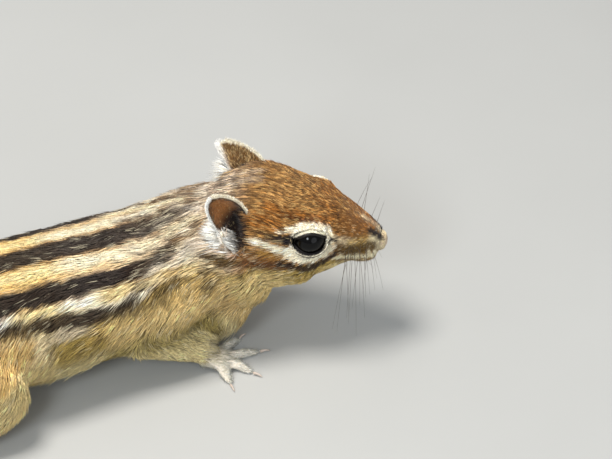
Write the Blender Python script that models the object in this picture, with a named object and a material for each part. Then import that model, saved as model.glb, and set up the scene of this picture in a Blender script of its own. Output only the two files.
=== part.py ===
# Siberian chipmunk, life size, creeping low on all four feet with its head turned to its right.
# Metres, +Z up. Sizes below are in millimetres in the animal's own layout: x runs forward along the
# back, y to the animal's left, z up from the floor, and x = y = 0 is the floor under the withers.
# At the end everything moves sideways once, so that the origin is the middle of the footprint.
import math
import random

import bmesh
import bpy
from mathutils import Matrix, Vector
from mathutils.bvhtree import BVHTree
from mathutils.geometry import interpolate_bezier

MM = 0.001
GAP = 0.3  # between touching nodes
UP = Vector((0, 0, 1))

# Trunk: x, top, bottom, half width at each station, from the base of the neck to the base of the tail
TRUNK = [
    (13, 33.2, 11.5, 11.8),
    (6, 34.3, 7.6, 14.2),
    (-4, 34.6, 5.2, 16.6),
    (-18, 34.5, 3.9, 18.2),
    (-32, 34.6, 3.6, 19.0),
    (-46, 35.2, 4.0, 19.2),
    (-58, 35.8, 5.2, 18.6),
    (-68, 35.0, 7.6, 17.2),
    (-76, 32.2, 10.8, 14.2),
    (-83, 28.0, 14.4, 9.6),
    (-89, 24.6, 17.2, 6.0),
]
BELLY_LEVEL = 0.46  # share of the trunk's depth, from below, at which it is widest

# Head: turned and tipped about the point midway between the eyes
EYE_LINE = Vector((31.2, -13.8, 32.4))
HEAD_TURN = -31.0  # degrees, to the animal's right
NECK = [
    (Vector((-3, 0.2, 20.2)), 15.8, 14.6, 14.8),
    (Vector((5, -1.2, 21.8)), 16.0, 14.4, 15.2),
    (Vector((12, -4.0, 24.0)), 15.6, 14.6, 15.2),
    (Vector((18.5, -7.4, 27.0)), 14.4, 14.4, 14.6),
]
# In the head's own layout: x, middle height, half width, height above and depth below the middle
SKULL = [
    (-20.5, -2.6, 11.4, 11.2, 13.4),
    (-15.5, -2.4, 13.2, 13.4, 14.6),
    (-10.0, -2.4, 13.4, 13.8, 14.4),
    (-4.5, -2.2, 12.2, 12.2, 13.2),
    (0.5, -2.2, 10.4, 9.8, 11.6),
    (5.0, -2.6, 8.4, 7.8, 9.8),
    (9.0, -3.2, 6.2, 5.4, 7.6),
    (12.4, -4.0, 4.3, 3.6, 5.0),
    (15.0, -4.9, 2.9, 2.2, 3.2),
    (16.4, -5.4, 1.7, 1.4, 1.8),
]
HEAD_SQUARE = 0.86  # below 1 the head's section is fuller at its corners
CHEEK = (Vector((-6.0, 8.4, -7.0)), Vector((8.0, 5.0, 6.4)))
BROW = (Vector((-0.6, 7.0, 3.9)), Vector((5.2, 3.2, 2.0)))
WHISKER_PAD = (Vector((10.6, 3.2, -6.6)), Vector((4.4, 2.7, 2.7)))
CHEST = (Vector((8.8, -6.2, 13.8)), Vector((10.0, 11.4, 10.2)))
JAW = [(9.5, -8.6, 2.2), (5.0, -9.2, 3.6), (-2.0, -9.4, 6.2), (-9.0, -9.0, 8.0)]
NOSE = (Vector((15.5, 0, -5.2)), Vector((1.5, 2.25, 2.0)))
NOSTRIL = (Vector((16.5, 1.35, -5.0)), Vector((0.9, 0.45, 0.6)))
PHILTRUM = [(17.4, 0, -6.6), (16.8, 0, -7.6), (15.8, 0, -8.6)]
MOUTH_LINE = [(16.6, 0.5, -6.6), (14.6, 2.6, -7.4), (11.6, 4.2, -8.1), (8.4, 5.6, -8.2), (6.2, 7.0, -7.2)]
EYE = Vector((-0.6, 7.95, 0.2))
EYE_RADIUS = 3.9
EYE_LOOK = Vector((0.14, 0.95, 0.24))  # the way the left eye faces
EYE_OPENING = (3.75, 2.75)  # half length and half height between the lids
LID_THICK = 0.65
MOUTH_GROOVE = 0.42

EAR_NOTCH = Vector((-15.8, 12.0, -0.8))
EAR_TIP = Vector((-22.0, 11.5, 12.1))
EAR_FACES = Vector((0.42, 0.9, 0.0))  # the way the left ear's cup opens
# the left ear is turned further to the side and shows broader
EAR_HALF_WIDTH = {"left": 5.3, "right": 4.0}
EAR_FORWARD_BOW = {"left": 2.5, "right": 1.2}
EAR_DEPTH = 3.2
EAR_THICK = 0.9
CONCHA = Vector((2.6, 3.0, 5.0))  # pit in the head before each ear's cup

# Limbs of the left side; the right side mirrors them, with a forward shift of its own
THIGH = [
    (Vector((-67, 7.6, 22.0)), 10.4),
    (Vector((-60, 13.2, 19.0)), 10.6),
    (Vector((-50, 17.8, 14.2)), 7.6),
]
SHANK = [
    (Vector((-48.4, 18.8, 12.0)), 6.6),
    (Vector((-54, 19.2, 9.2)), 6.4),
    (Vector((-66, 18.2, 7.4)), 4.6),
    (Vector((-78, 17.0, 5.2)), 3.2),
    (Vector((-84.5, 16.4, 3.4)), 2.5),
]
HIND_SOLE = [
    (Vector((-85.5, 16.4, 2.0)), 2.3, 2.0),
    (Vector((-80, 16.8, 2.0)), 2.5, 2.2),
    (Vector((-72, 17.8, 1.8)), 2.9, 1.9),
    (Vector((-65, 18.8, 1.5)), 3.7, 1.6),
    (Vector((-62.5, 19.2, 1.3)), 3.5, 1.3),
]
# Toes: root, tip, half thickness at root and tip
HIND_TOES = [
    ((-66.0, 16.0), (-60.0, 13.6), 1.1, 0.8),
    ((-64.2, 17.4), (-56.6, 16.6), 1.15, 0.8),
    ((-63.6, 19.0), (-55.6, 19.8), 1.15, 0.8),
    ((-64.0, 20.6), (-56.8, 23.0), 1.15, 0.8),
    ((-66.2, 22.0), (-60.6, 25.6), 1.1, 0.8),
]
UPPER_ARM = [
    (Vector((4, 8.0, 22.5)), 8.6),
    (Vector((-5, 12.0, 17.5)), 6.8),
    (Vector((-13.5, 13.4, 13.6)), 4.9),
]
FOREARM = [
    (Vector((-14, 13.6, 12.8)), 4.7),
    (Vector((-5, 14.6, 8.8)), 4.1),
    (Vector((2.8, 14.8, 4.6)), 3.2),
]
FORE_PALM = [
    (Vector((1.6, 14.8, 3.4)), 2.8, 2.5),
    (Vector((4.6, 15.6, 2.4)), 3.5, 2.0),
    (Vector((7.4, 16.4, 1.7)), 3.6, 1.5),
]
FORE_TOES = [
    ((6.8, 13.4), (12.8, 10.4), 1.35, 0.9),
    ((8.2, 15.8), (14.9, 16.5), 1.35, 0.9),
    ((7.6, 18.2), (10.5, 22.2), 1.35, 0.9),
    ((4.8, 18.4), (4.6, 23.6), 1.35, 0.9),
]
TOE_ROOT_HEIGHT = 1.35
TOE_TIP_HEIGHT = 0.62
CLAW_LENGTH = 2.3
CLAW_ROOT = 0.48
CLAW_END = 0.12
CLAW_ARCH = 0.3
LIMB_SHIFT = {"left": (6.0, -5.0), "right": (0.0, 0.0)}  # forward shift of the fore and hind limb

# Tail: middle line with the reach of the hair from it, then the core and the locks of hair on it
TAIL = [
    (Vector((-86, 0, 20.6)), 5.8),
    (Vector((-97, -0.6, 17.4)), 7.4),
    (Vector((-112, -2.4, 14.2)), 9.0),
    (Vector((-130, -7, 12.6)), 10.2),
    (Vector((-149, -15, 12.4)), 10.6),
    (Vector((-167, -25.5, 13.0)), 9.6),
    (Vector((-181, -36, 14.0)), 5.0),
    (Vector((-187, -42, 14.6)), 1.0),
]
TAIL_CORE = [(0.0, 5.2), (0.12, 4.6), (0.6, 4.4), (0.8, 3.4), (0.88, 1.8)]  # share of the length, radius
TAIL_ROOT = -88.0
TAIL_CUTS = (-117.0, -149.0)
LOCK_ROWS = 13
LOCKS_ROUND = 6
LOCKS_ROUND_TIP = 4  # past LOCK_THINNING of the tail's length
LOCK_THINNING = 0.7
LOCK_LENGTH = 18.0
LOCK_WIDTH = 7.2
LOCK_THICK = 1.5
LOCK_SEGMENTS = 2
LOCK_FIRST = 0.02  # share of the tail's length at the first and the last row
LOCK_LAST = 0.86
LOCK_SEED = 11

# Where the flesh is parted into its nodes
WRIST = Vector((1.6, 14.8, 5.0))
WRIST_INNER = 7.4  # reach of the foot's part from the wrist towards the body, and above the wrist
FOREFOOT_TOP = 3.4
FOREARM_INNER = 4.2
FOREARM_TOP = 4.4
SHOULDER_PLANE = 11.4
SHOULDER_SPAN = (-20.0, 7.0)
SHOULDER_TOP = 27.0
INSTEP = 4.3
SHANK_INNER = 6.2
SHANK_TOP = 5.0
HIP_PLANE = 12.2
HIP_SPAN = (-84.0, -38.0)
HIP_TOP = 31.0
NAPE = Vector((-24.0, 0, 9.0))
HEAD_SLANT = 24.0  # degrees by which the cut behind the head runs forward on its way down
WITHERS = Vector((-1.0, 0, 36.0))
NECK_SLANT = 35.0
FAR = 60.0

VOXEL = 0.5
SMOOTHING = 50
FLESH_TRIANGLES = 5000


def material(name, colour, roughness):
    made = bpy.data.materials.new(name)
    made.use_nodes = True
    shader = made.node_tree.nodes["Principled BSDF"]
    shader.inputs["Base Color"].default_value = (*colour, 1)
    shader.inputs["Roughness"].default_value = roughness
    return made


def clear_scene():
    for old in list(bpy.data.objects):
        bpy.data.objects.remove(old)


def add_object(name, shape, paint=None):
    """Turns a bmesh into an object, in metres."""
    mesh = bpy.data.meshes.new(name)
    shape.to_mesh(mesh)
    shape.free()
    made = bpy.data.objects.new(name, mesh)
    bpy.context.scene.collection.objects.link(made)
    if paint:
        mesh.materials.append(paint)
    return made


def settle(obj):
    """Applies an object's modifiers."""
    graph = bpy.context.evaluated_depsgraph_get()
    mesh = bpy.data.meshes.new_from_object(obj.evaluated_get(graph))
    obj.modifiers.clear()
    old, obj.data = obj.data, mesh
    bpy.data.meshes.remove(old)
    return obj


def modified(obj, kind, **settings):
    modifier = obj.modifiers.new(kind.lower(), kind)
    for key, value in settings.items():
        setattr(modifier, key, value)
    return settle(obj)


def remove(obj):
    bpy.data.objects.remove(obj)


def copy_of(obj, name):
    made = obj.copy()
    made.data = obj.data.copy()
    made.name = name
    bpy.context.scene.collection.objects.link(made)
    return made


def combined(obj, other, operation, solver="EXACT"):
    return modified(obj, "BOOLEAN", operation=operation, object=other, solver=solver)


def keep_largest(obj):
    """Keeps the closed surface that holds the most volume, and drops loose scraps."""
    shape = bmesh.new()
    shape.from_mesh(obj.data)
    left = set(shape.verts)
    groups = []
    while left:
        group, front = set(), [left.pop()]
        while front:
            vert = front.pop()
            group.add(vert)
            for edge in vert.link_edges:
                other = edge.other_vert(vert)
                if other in left:
                    left.discard(other)
                    front.append(other)
        groups.append(group)
    if len(groups) > 1:
        def spread(group):
            corner = [max(v.co[k] for v in group) - min(v.co[k] for v in group) for k in range(3)]
            return corner[0] * corner[1] * corner[2]

        best = max(groups, key=spread)
        bmesh.ops.delete(shape, geom=[v for v in shape.verts if v not in best], context="VERTS")
    shape.to_mesh(obj.data)
    shape.free()
    return obj


def smooth_path(points, steps):
    """Points along a smooth curve through the given ones."""
    points = [Vector(p) for p in points]
    slopes = []
    for i, _ in enumerate(points):
        before, after = points[max(i - 1, 0)], points[min(i + 1, len(points) - 1)]
        slopes.append((after - before) / 2)
    path = []
    for i in range(len(points) - 1):
        a, b = points[i], points[i + 1]
        piece = interpolate_bezier(a, a + slopes[i] / 3, b - slopes[i + 1] / 3, b, steps + 1)
        path += piece[:-1]
    return path + [points[-1]]


def blend_values(values, steps):
    """Values eased between the given ones, as many as smooth_path gives points."""
    filled = [v.z for v in smooth_path([(0, 0, value) for value in values], steps)]
    return filled


def signed_power(value, power):
    return math.copysign(abs(value) ** power, value)


def tube(shape, path, sides, ups, downs, around=20, place=None, square=1.0):
    """Adds a closed tube to a bmesh, with its own half width, height and depth at each point of the path."""
    place = place or Matrix.Identity(4)
    rings = []
    for i, middle in enumerate(path):
        along = (path[min(i + 1, len(path) - 1)] - path[max(i - 1, 0)]).normalized()
        side = UP.cross(along).normalized()
        top = along.cross(side).normalized()
        ring = []
        for k in range(around):
            angle = 2 * math.pi * k / around
            lift = ups[i] if math.sin(angle) > 0 else downs[i]
            across = signed_power(math.cos(angle), square) * sides[i]
            point = middle + side * across + top * (signed_power(math.sin(angle), square) * lift)
            ring.append(shape.verts.new((place @ point) * MM))
        rings.append(ring)
    for a, b in zip(rings, rings[1:]):
        for k in range(around):
            n = (k + 1) % around
            shape.faces.new((a[k], a[n], b[n], b[k]))
    first, last = path[0].lerp(path[1], -0.15), path[-1].lerp(path[-2], -0.15)
    for ring, end in ((rings[0][::-1], first), (rings[-1], last)):
        pole = shape.verts.new((place @ end) * MM)
        for k in range(around):
            shape.faces.new((ring[k], ring[(k + 1) % around], pole))


def rounded_limb(shape, stations, steps=5, place=None):
    """Adds a limb of round section, with a rounded cap at each end."""
    path = smooth_path([point for point, _ in stations], steps)
    radii = blend_values([radius for _, radius in stations], steps)
    tube(shape, path, radii, radii, radii, place=place)
    for point, radius in (stations[0], stations[-1]):
        ball(shape, point, Vector((radius, radius, radius)) * 0.985, place=place)


def ball(shape, middle, radii, place=None, along=20, around=20):
    place = place or Matrix.Identity(4)
    size = Matrix.Diagonal((*radii, 1))
    made = bmesh.ops.create_uvsphere(shape, u_segments=around, v_segments=along // 2, radius=1)
    matrix = Matrix.Scale(MM, 4) @ place @ Matrix.Translation(middle) @ size
    bmesh.ops.transform(shape, matrix=matrix, verts=made["verts"])


def mirrored(point, side):
    return Vector((point[0], point[1] if side == "left" else -point[1], point[2]))


def head_place():
    turn = Matrix.Rotation(math.radians(HEAD_TURN), 4, "Z")
    return Matrix.Translation(EYE_LINE) @ turn


def add_trunk(shape):
    middles = []
    ups, downs, sides = [], [], []
    for x, top, bottom, half in TRUNK:
        level = bottom + BELLY_LEVEL * (top - bottom)
        middles.append(Vector((x, 0, level)))
        ups.append(top - level)
        downs.append(level - bottom)
        sides.append(half)
    steps = 4
    path = smooth_path(middles, steps)
    shares = [blend_values(values, steps) for values in (sides, ups, downs)]
    tube(shape, path, *shares, around=36)


def add_neck(shape):
    ball(shape, *CHEST)
    steps = 4
    path = smooth_path([station[0] for station in NECK], steps)
    sides, ups, downs = (blend_values([station[k] for station in NECK], steps) for k in (1, 2, 3))
    tube(shape, path, sides, ups, downs, around=32)


def add_head(shape):
    place = head_place()
    steps = 4
    path = smooth_path([(x, 0, z) for x, z, *_ in SKULL], steps)
    sides, ups, downs = (blend_values([station[k] for station in SKULL], steps) for k in (2, 3, 4))
    tube(shape, path, sides, ups, downs, around=32, place=place, square=HEAD_SQUARE)
    for middle, radii in (CHEEK, BROW, WHISKER_PAD):
        for side in ("left", "right"):
            ball(shape, mirrored(middle, side), radii, place=place)
    rounded_limb(shape, [(Vector((x, 0, z)), r) for x, z, r in JAW], place=place)


def shifted(point, side, limb):
    move = LIMB_SHIFT[side][limb]
    return mirrored(point, side) + Vector((move, 0, 0))


def add_limbs(shape):
    for side in ("left", "right"):
        for stations, limb in ((UPPER_ARM, 0), (FOREARM, 0), (THIGH, 1), (SHANK, 1)):
            rounded_limb(shape, [(shifted(p, side, limb), r) for p, r in stations])
        for stations, toes, limb in ((FORE_PALM, FORE_TOES, 0), (HIND_SOLE, HIND_TOES, 1)):
            steps = 3
            path = smooth_path([shifted(p, side, limb) for p, *_ in stations], steps)
            sides, ups = (blend_values([station[k] for station in stations], steps) for k in (1, 2))
            tube(shape, path, sides, ups, [u * 1.2 for u in ups])
            for toe in toes:
                root, tip = toe_ends(toe, side, limb)
                bend = root.lerp(tip, 0.5) + UP * 0.35
                rounded_limb(shape, [(root, toe[2]), (bend, toe[2]), (tip, toe[3])], steps=3)


def toe_ends(toe, side, limb):
    root = shifted(Vector((*toe[0], TOE_ROOT_HEIGHT)), side, limb)
    tip = shifted(Vector((*toe[1], TOE_TIP_HEIGHT)), side, limb)
    return root, tip


def flesh():
    """The whole animal but its tail, ears, eyes, nose and claws, as one smooth closed skin."""
    shape = bmesh.new()
    add_trunk(shape)
    add_neck(shape)
    add_head(shape)
    add_limbs(shape)
    whole = add_object("whole", shape)
    modified(whole, "REMESH", mode="VOXEL", voxel_size=VOXEL * MM, adaptivity=0)
    soft = whole.vertex_groups.new(name="soft")
    into_head = head_place().inverted()
    for vert in whole.data.vertices:
        point = vert.co / MM
        amount = min(max((point.z - 5.0) / 5.0, 0.04), 1.0)
        ahead = (into_head @ point).x
        amount *= min(max((15.0 - ahead) / 14.0, 0.12), 1.0)
        soft.add([vert.index], amount, "REPLACE")
    modified(whole, "SMOOTH", factor=0.5, iterations=SMOOTHING, vertex_group="soft")
    triangles = 2 * len(whole.data.polygons)
    modified(whole, "DECIMATE", ratio=FLESH_TRIANGLES / triangles)
    floor = box("floor", Vector((0, 0, -FAR)), (3 * FAR, FAR, FAR))
    combined(whole, floor, "DIFFERENCE")
    remove(floor)
    return whole


def box(name, middle, halves, place=None):
    """A closed box, its sizes in millimetres, turned by place."""
    shape = bmesh.new()
    bmesh.ops.create_cube(shape, size=2)
    place = place or Matrix.Identity(4)
    matrix = Matrix.Scale(MM, 4) @ place @ Matrix.Translation(middle) @ Matrix.Diagonal((*halves, 1))
    bmesh.ops.transform(shape, matrix=matrix, verts=shape.verts)
    return add_object(name, shape)


def frame_at(point, forward, up=UP):
    """A placement at point whose x runs along forward, with z as near up as it can be."""
    forward = forward.normalized()
    side = up.cross(forward).normalized()
    top = forward.cross(side)
    turn = Matrix((forward, side, top)).transposed().to_4x4()
    return Matrix.Translation(point) @ turn


def take(whole, name, place, low, high):
    """Parts off what lies in a box from corner low to corner high of place, leaving a gap behind."""
    low, high = Vector(low), Vector(high)
    middle, halves = (low + high) / 2, (high - low) / 2
    part = copy_of(whole, name)
    cell = box("cell", middle, halves, place)
    combined(part, cell, "INTERSECT")
    remove(cell)
    keep_largest(part)
    grown = box("cell", middle, halves + Vector((GAP, GAP, GAP)), place)
    combined(whole, grown, "DIFFERENCE")
    remove(grown)
    keep_largest(whole)
    return part


def part_flesh(whole):
    """Divides the skin into its named parts, feet first, and leaves the torso."""
    parts = []
    for side in ("left", "right"):
        out = 1 if side == "left" else -1
        wrist = shifted(WRIST, side, 0)
        elbow = shifted(FOREARM[0][0], side, 0)
        along = frame_at(wrist, wrist - elbow)
        inner, outer = sorted((out * -WRIST_INNER, out * 16.0))
        parts.append(take(whole, f"forefoot_{side}", along, (0, inner, -9), (26, outer, FOREFOOT_TOP)))
        reach = (wrist - elbow).length
        inner, outer = sorted((out * -FOREARM_INNER, out * 9.0))
        parts.append(take(whole, f"forearm_{side}", along, (-reach, inner, -9), (-GAP, outer, FOREARM_TOP)))
        move = LIMB_SHIFT[side][0]
        inner, outer = sorted((out * SHOULDER_PLANE, out * 40.0))
        low, high = (SHOULDER_SPAN[0] + move, inner, 2), (SHOULDER_SPAN[1] + move, outer, SHOULDER_TOP)
        parts.append(take(whole, f"upper_arm_{side}", Matrix.Identity(4), low, high))
        move = LIMB_SHIFT[side][1]
        inner, outer = sorted((out * 7.0, out * 40.0))
        low, high = (-100 + move, inner, -5), (-40 + move, outer, INSTEP)
        parts.append(take(whole, f"hindfoot_{side}", Matrix.Identity(4), low, high))
        knee, ankle = shifted(SHANK[0][0], side, 1), shifted(SHANK[-1][0], side, 1)
        along = frame_at(knee, knee - ankle)
        inner, outer = sorted((out * -SHANK_INNER, out * 14.0))
        parts.append(take(whole, f"shank_{side}", along, (-45, inner, -14), (14, outer, SHANK_TOP)))
        inner, outer = sorted((out * HIP_PLANE, out * 40.0))
        low, high = (HIP_SPAN[0] + move, inner, INSTEP - 2), (HIP_SPAN[1] + move, outer, HIP_TOP)
        parts.append(take(whole, f"thigh_{side}", Matrix.Identity(4), low, high))
    occiput = head_place() @ Matrix.Translation(NAPE) @ Matrix.Rotation(math.radians(-HEAD_SLANT), 4, "Y")
    parts.append(take(whole, "head", occiput, (0, -FAR, -FAR), (FAR, FAR, FAR)))
    base = Matrix.Translation(WITHERS) @ Matrix.Rotation(math.radians(-12), 4, "Z")
    base = base @ Matrix.Rotation(math.radians(-NECK_SLANT), 4, "Y")
    parts.append(take(whole, "neck", base, (0, -FAR, -FAR), (FAR, FAR, FAR)))
    rump = box("rump", Vector((TAIL_ROOT - FAR, 0, 0)), (FAR, FAR, FAR))
    combined(whole, rump, "DIFFERENCE")
    remove(rump)
    whole.name = "torso"
    parts.append(whole)
    return {part.name: part for part in parts}


def eye_parts(side):
    """Middle and look of an eye, in the animal's layout."""
    place = head_place()
    middle = place @ mirrored(EYE, side)
    look = (place.to_3x3() @ mirrored(EYE_LOOK, side)).normalized()
    return middle, look


def add_eye(side, paint):
    middle, _ = eye_parts(side)
    shape = bmesh.new()
    ball(shape, middle, Vector((1, 1, 1)) * EYE_RADIUS, around=14, along=14)
    return add_object(f"eye_{side}", shape, paint)


def eye_opening(shape, side):
    """The opening between the lids: an oval bore from the middle of the eye outwards."""
    middle, look = eye_parts(side)
    long, high = EYE_OPENING
    turn = Matrix.Rotation(math.radians(90), 4, "Y")
    bore = bmesh.ops.create_cone(shape, cap_ends=True, segments=20, radius1=1, radius2=1, depth=1)
    size = Matrix.Diagonal((high, long, 8, 1))
    place = frame_at(middle, look) @ Matrix.Translation((6.0, 0, 0)) @ turn @ size
    bmesh.ops.transform(shape, matrix=Matrix.Scale(MM, 4) @ place, verts=bore["verts"])


def surface_of(obj):
    shape = bmesh.new()
    shape.from_mesh(obj.data)
    tree = BVHTree.FromBMesh(shape)
    shape.free()
    return tree


def finish_head(head):
    """Raises the lids, then cuts sockets, ear pits, mouth line and philtrum into the head."""
    place = head_place()
    surface = surface_of(head)
    lids, sockets, pits = bmesh.new(), bmesh.new(), bmesh.new()
    lines = [[place @ Vector(point) for point in PHILTRUM]]
    for side in ("left", "right"):
        middle, _ = eye_parts(side)
        ball(lids, middle, Vector((1, 1, 1)) * (EYE_RADIUS + GAP + LID_THICK), around=16, along=16)
        ball(sockets, middle, Vector((1, 1, 1)) * (EYE_RADIUS + GAP), around=16, along=16)
        eye_opening(pits, side)
        ball(pits, ear_frame(side) @ Vector((0.6, 0.4, 4.6)), CONCHA, around=12, along=12)
        lines.append([place @ mirrored(point, side) for point in MOUTH_LINE])
    for line in lines:
        on_skin = [surface.find_nearest(point * MM)[0] / MM for point in line]
        path = smooth_path(on_skin, 2)
        radii = [MOUTH_GROOVE] * len(path)
        tube(pits, path, radii, radii, radii, around=6)
    for shape, operation in ((lids, "UNION"), (sockets, "DIFFERENCE"), (pits, "DIFFERENCE")):
        bmesh.ops.recalc_face_normals(shape, faces=shape.faces)
        tool = add_object("tool", shape)
        modified(head, "BOOLEAN", operation=operation, object=tool, solver="EXACT", use_self=True)
        remove(tool)
    keep_largest(head)


def ear_frame(side):
    """x opens outward, y runs across towards the head's front, z runs from the notch to the tip."""
    out = 1 if side == "left" else -1
    notch, tip = mirrored(EAR_NOTCH, side), mirrored(EAR_TIP, side)
    rise = (tip - notch).normalized()
    faces = mirrored(EAR_FACES, side)
    faces = (faces - rise * faces.dot(rise)).normalized()
    across = rise.cross(faces) * -out
    turn = Matrix((faces, across, rise)).transposed().to_4x4()
    return head_place() @ Matrix.Translation(notch) @ turn


def add_ear(side, head, paint):
    """A thin cup, open outward and forward, set on the head."""
    frame = ear_frame(side)
    height = (EAR_TIP - EAR_NOTCH).length
    wide, high = 8, 10
    shape = bmesh.new()
    rows = []
    for j in range(high + 1):
        share = j / high
        half = EAR_HALF_WIDTH[side] * math.sqrt(max(1 - abs(2 * share - 1) ** 2.3, 0.02))
        bow = EAR_FORWARD_BOW[side] * math.sin(math.pi * share)
        deep = EAR_DEPTH * math.sin(math.pi * min(0.18 + 0.72 * share, 1))
        row = []
        for i in range(wide + 1):
            u = 2 * i / wide - 1
            back = deep * (1 - abs(u) ** 2.2)
            point = Vector((-back, bow + u * half, share * height))
            row.append(shape.verts.new((frame @ point) * MM))
        rows.append(row)
    for a, b in zip(rows, rows[1:]):
        for i in range(wide):
            shape.faces.new((a[i], a[i + 1], b[i + 1], b[i]))
    bmesh.ops.recalc_face_normals(shape, faces=shape.faces)
    ear = add_object(f"ear_{side}", shape, paint)
    modified(ear, "SOLIDIFY", thickness=EAR_THICK * MM, offset=0, use_even_offset=False)
    modified(ear, "TRIANGULATE")
    return ear


def cut_clear(obj, other):
    """Cuts obj so that it stays a gap away from other."""
    grown = copy_of(other, "grown")
    modified(grown, "DISPLACE", strength=GAP * MM, mid_level=0)
    combined(obj, grown, "DIFFERENCE")
    remove(grown)
    return keep_largest(obj)


def add_nose(head, paint):
    """The bare nose pad, with its two nostrils."""
    place = head_place()
    pad = bmesh.new()
    ball(pad, *NOSE, place=place, around=14, along=12)
    nose = add_object("nose", pad, paint)
    pits = bmesh.new()
    for side in ("left", "right"):
        ball(pits, mirrored(NOSTRIL[0], side), NOSTRIL[1], place=place, around=8, along=8)
    pits = add_object("pits", pits)
    combined(nose, pits, "DIFFERENCE")
    remove(pits)
    return nose


def add_claws(foot, side, toes, limb, label, paint):
    """One small curved claw at each toe's tip, set a gap off the toe."""
    surface = surface_of(foot)
    claws = []
    for number, toe in enumerate(toes, 1):
        root, tip = toe_ends(toe, side, limb)
        ahead = Vector((tip.x - root.x, tip.y - root.y, 0)).normalized()
        outside = tip + ahead * 6
        hit = surface.ray_cast(outside * MM, -ahead)[0]
        start = (hit / MM) + ahead * GAP
        path = []
        steps = 3
        for i in range(steps + 1):
            share = i / steps
            lift = CLAW_ARCH * math.sin(math.pi * share) - 0.25 * share
            path.append(start + ahead * (CLAW_LENGTH * share) + UP * lift)
        radii = [CLAW_ROOT + (CLAW_END - CLAW_ROOT) * (i / steps) ** 1.3 for i in range(steps + 1)]
        shape = bmesh.new()
        tube(shape, path, [r * 0.8 for r in radii], radii, radii, around=5)
        claws.append(add_object(f"claw_{label}_{side}_{number}", shape, paint))
    return claws


def along_tail():
    """Points down the middle of the tail with the hair's reach, evenly close, and its length."""
    path = smooth_path([point for point, _ in TAIL], 12)
    reach = blend_values([radius for _, radius in TAIL], 12)
    lengths = [0.0]
    for a, b in zip(path, path[1:]):
        lengths.append(lengths[-1] + (b - a).length)
    return path, reach, lengths


def tail_station(tail, distance):
    """Middle, frame and reach of the tail at a distance from its root."""
    path, reach, lengths = tail
    distance = min(max(distance, 0.0), lengths[-1] - 0.001)
    i = max(k for k, length in enumerate(lengths[:-1]) if length <= distance)
    share = (distance - lengths[i]) / (lengths[i + 1] - lengths[i])
    middle = path[i].lerp(path[i + 1], share)
    along = (path[min(i + 2, len(path) - 1)] - path[max(i - 1, 0)]).normalized()
    side = UP.cross(along).normalized()
    return middle, along, side, along.cross(side), reach[i] + (reach[i + 1] - reach[i]) * share


def core_radius(share):
    for (a, low), (b, high) in zip(TAIL_CORE, TAIL_CORE[1:]):
        if share <= b:
            return low + (high - low) * (share - a) / (b - a)
    return TAIL_CORE[-1][1]


def tail_lock(tail, start, turn, length, width, lift):
    """One flat, tapered lock: it leaves the core, then bends back along the tail and overlaps the next."""
    shape = bmesh.new()
    whole = tail[2][-1]
    rings = []
    for j in range(LOCK_SEGMENTS + 1):
        share = j / LOCK_SEGMENTS * 0.86
        distance = start + length * share
        middle, along, side, top, reach = tail_station(tail, distance)
        root = core_radius(start / whole) * 0.55
        radius = root + (max(reach * lift, root + 0.5) - root) * (1 - (1 - share) ** 1.9)
        beyond = max(distance - whole, 0)
        out = side * math.cos(turn) + top * math.sin(turn)
        across = side * -math.sin(turn) + top * math.cos(turn)
        centre = middle + out * radius + along * beyond
        half = width / 2 * (0.72 + 0.9 * share) * (1 - share ** 2.2)
        thick = LOCK_THICK / 2 * (1.15 - 0.75 * share)
        corners = [across * half, out * thick, across * -half, out * -thick]
        rings.append([shape.verts.new((centre + corner) * MM) for corner in corners])
    distance = start + length
    middle, along, side, top, reach = tail_station(tail, distance)
    out = side * math.cos(turn) + top * math.sin(turn)
    tip = middle + out * reach * lift + along * max(distance - whole, 0)
    tip = shape.verts.new(tip * MM)
    for a, b in zip(rings, rings[1:]):
        for k in range(4):
            n = (k + 1) % 4
            shape.faces.new((a[k], a[n], b[n], b[k]))
    for k in range(4):
        shape.faces.new((rings[-1][k], rings[-1][(k + 1) % 4], tip))
    shape.faces.new(rings[0][::-1])
    bmesh.ops.triangulate(shape, faces=shape.faces)
    bmesh.ops.recalc_face_normals(shape, faces=shape.faces)
    return add_object("lock", shape)


def tail_locks(tail):
    """Where each lock starts, and the lock."""
    draw = random.Random(LOCK_SEED)
    whole = tail[2][-1]
    found = []
    for row in range(LOCK_ROWS):
        share = LOCK_FIRST + (LOCK_LAST - LOCK_FIRST) * row / (LOCK_ROWS - 1)
        count = LOCKS_ROUND if share < LOCK_THINNING else LOCKS_ROUND_TIP
        for k in range(count):
            turn = 2 * math.pi * (k + 0.5 * (row % 2)) / count + draw.uniform(-0.12, 0.12)
            start = share * whole + draw.uniform(-1.6, 1.6)
            length = LOCK_LENGTH * draw.uniform(0.85, 1.12) * (0.62 + 0.38 * min(share / 0.3, 1))
            width = LOCK_WIDTH * draw.uniform(0.88, 1.12) * (0.75 + 0.25 * min(share / 0.3, 1))
            lift = draw.uniform(0.9, 1.06)
            found.append((max(start, 1.0), turn, length, width, lift))
    return found


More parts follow.
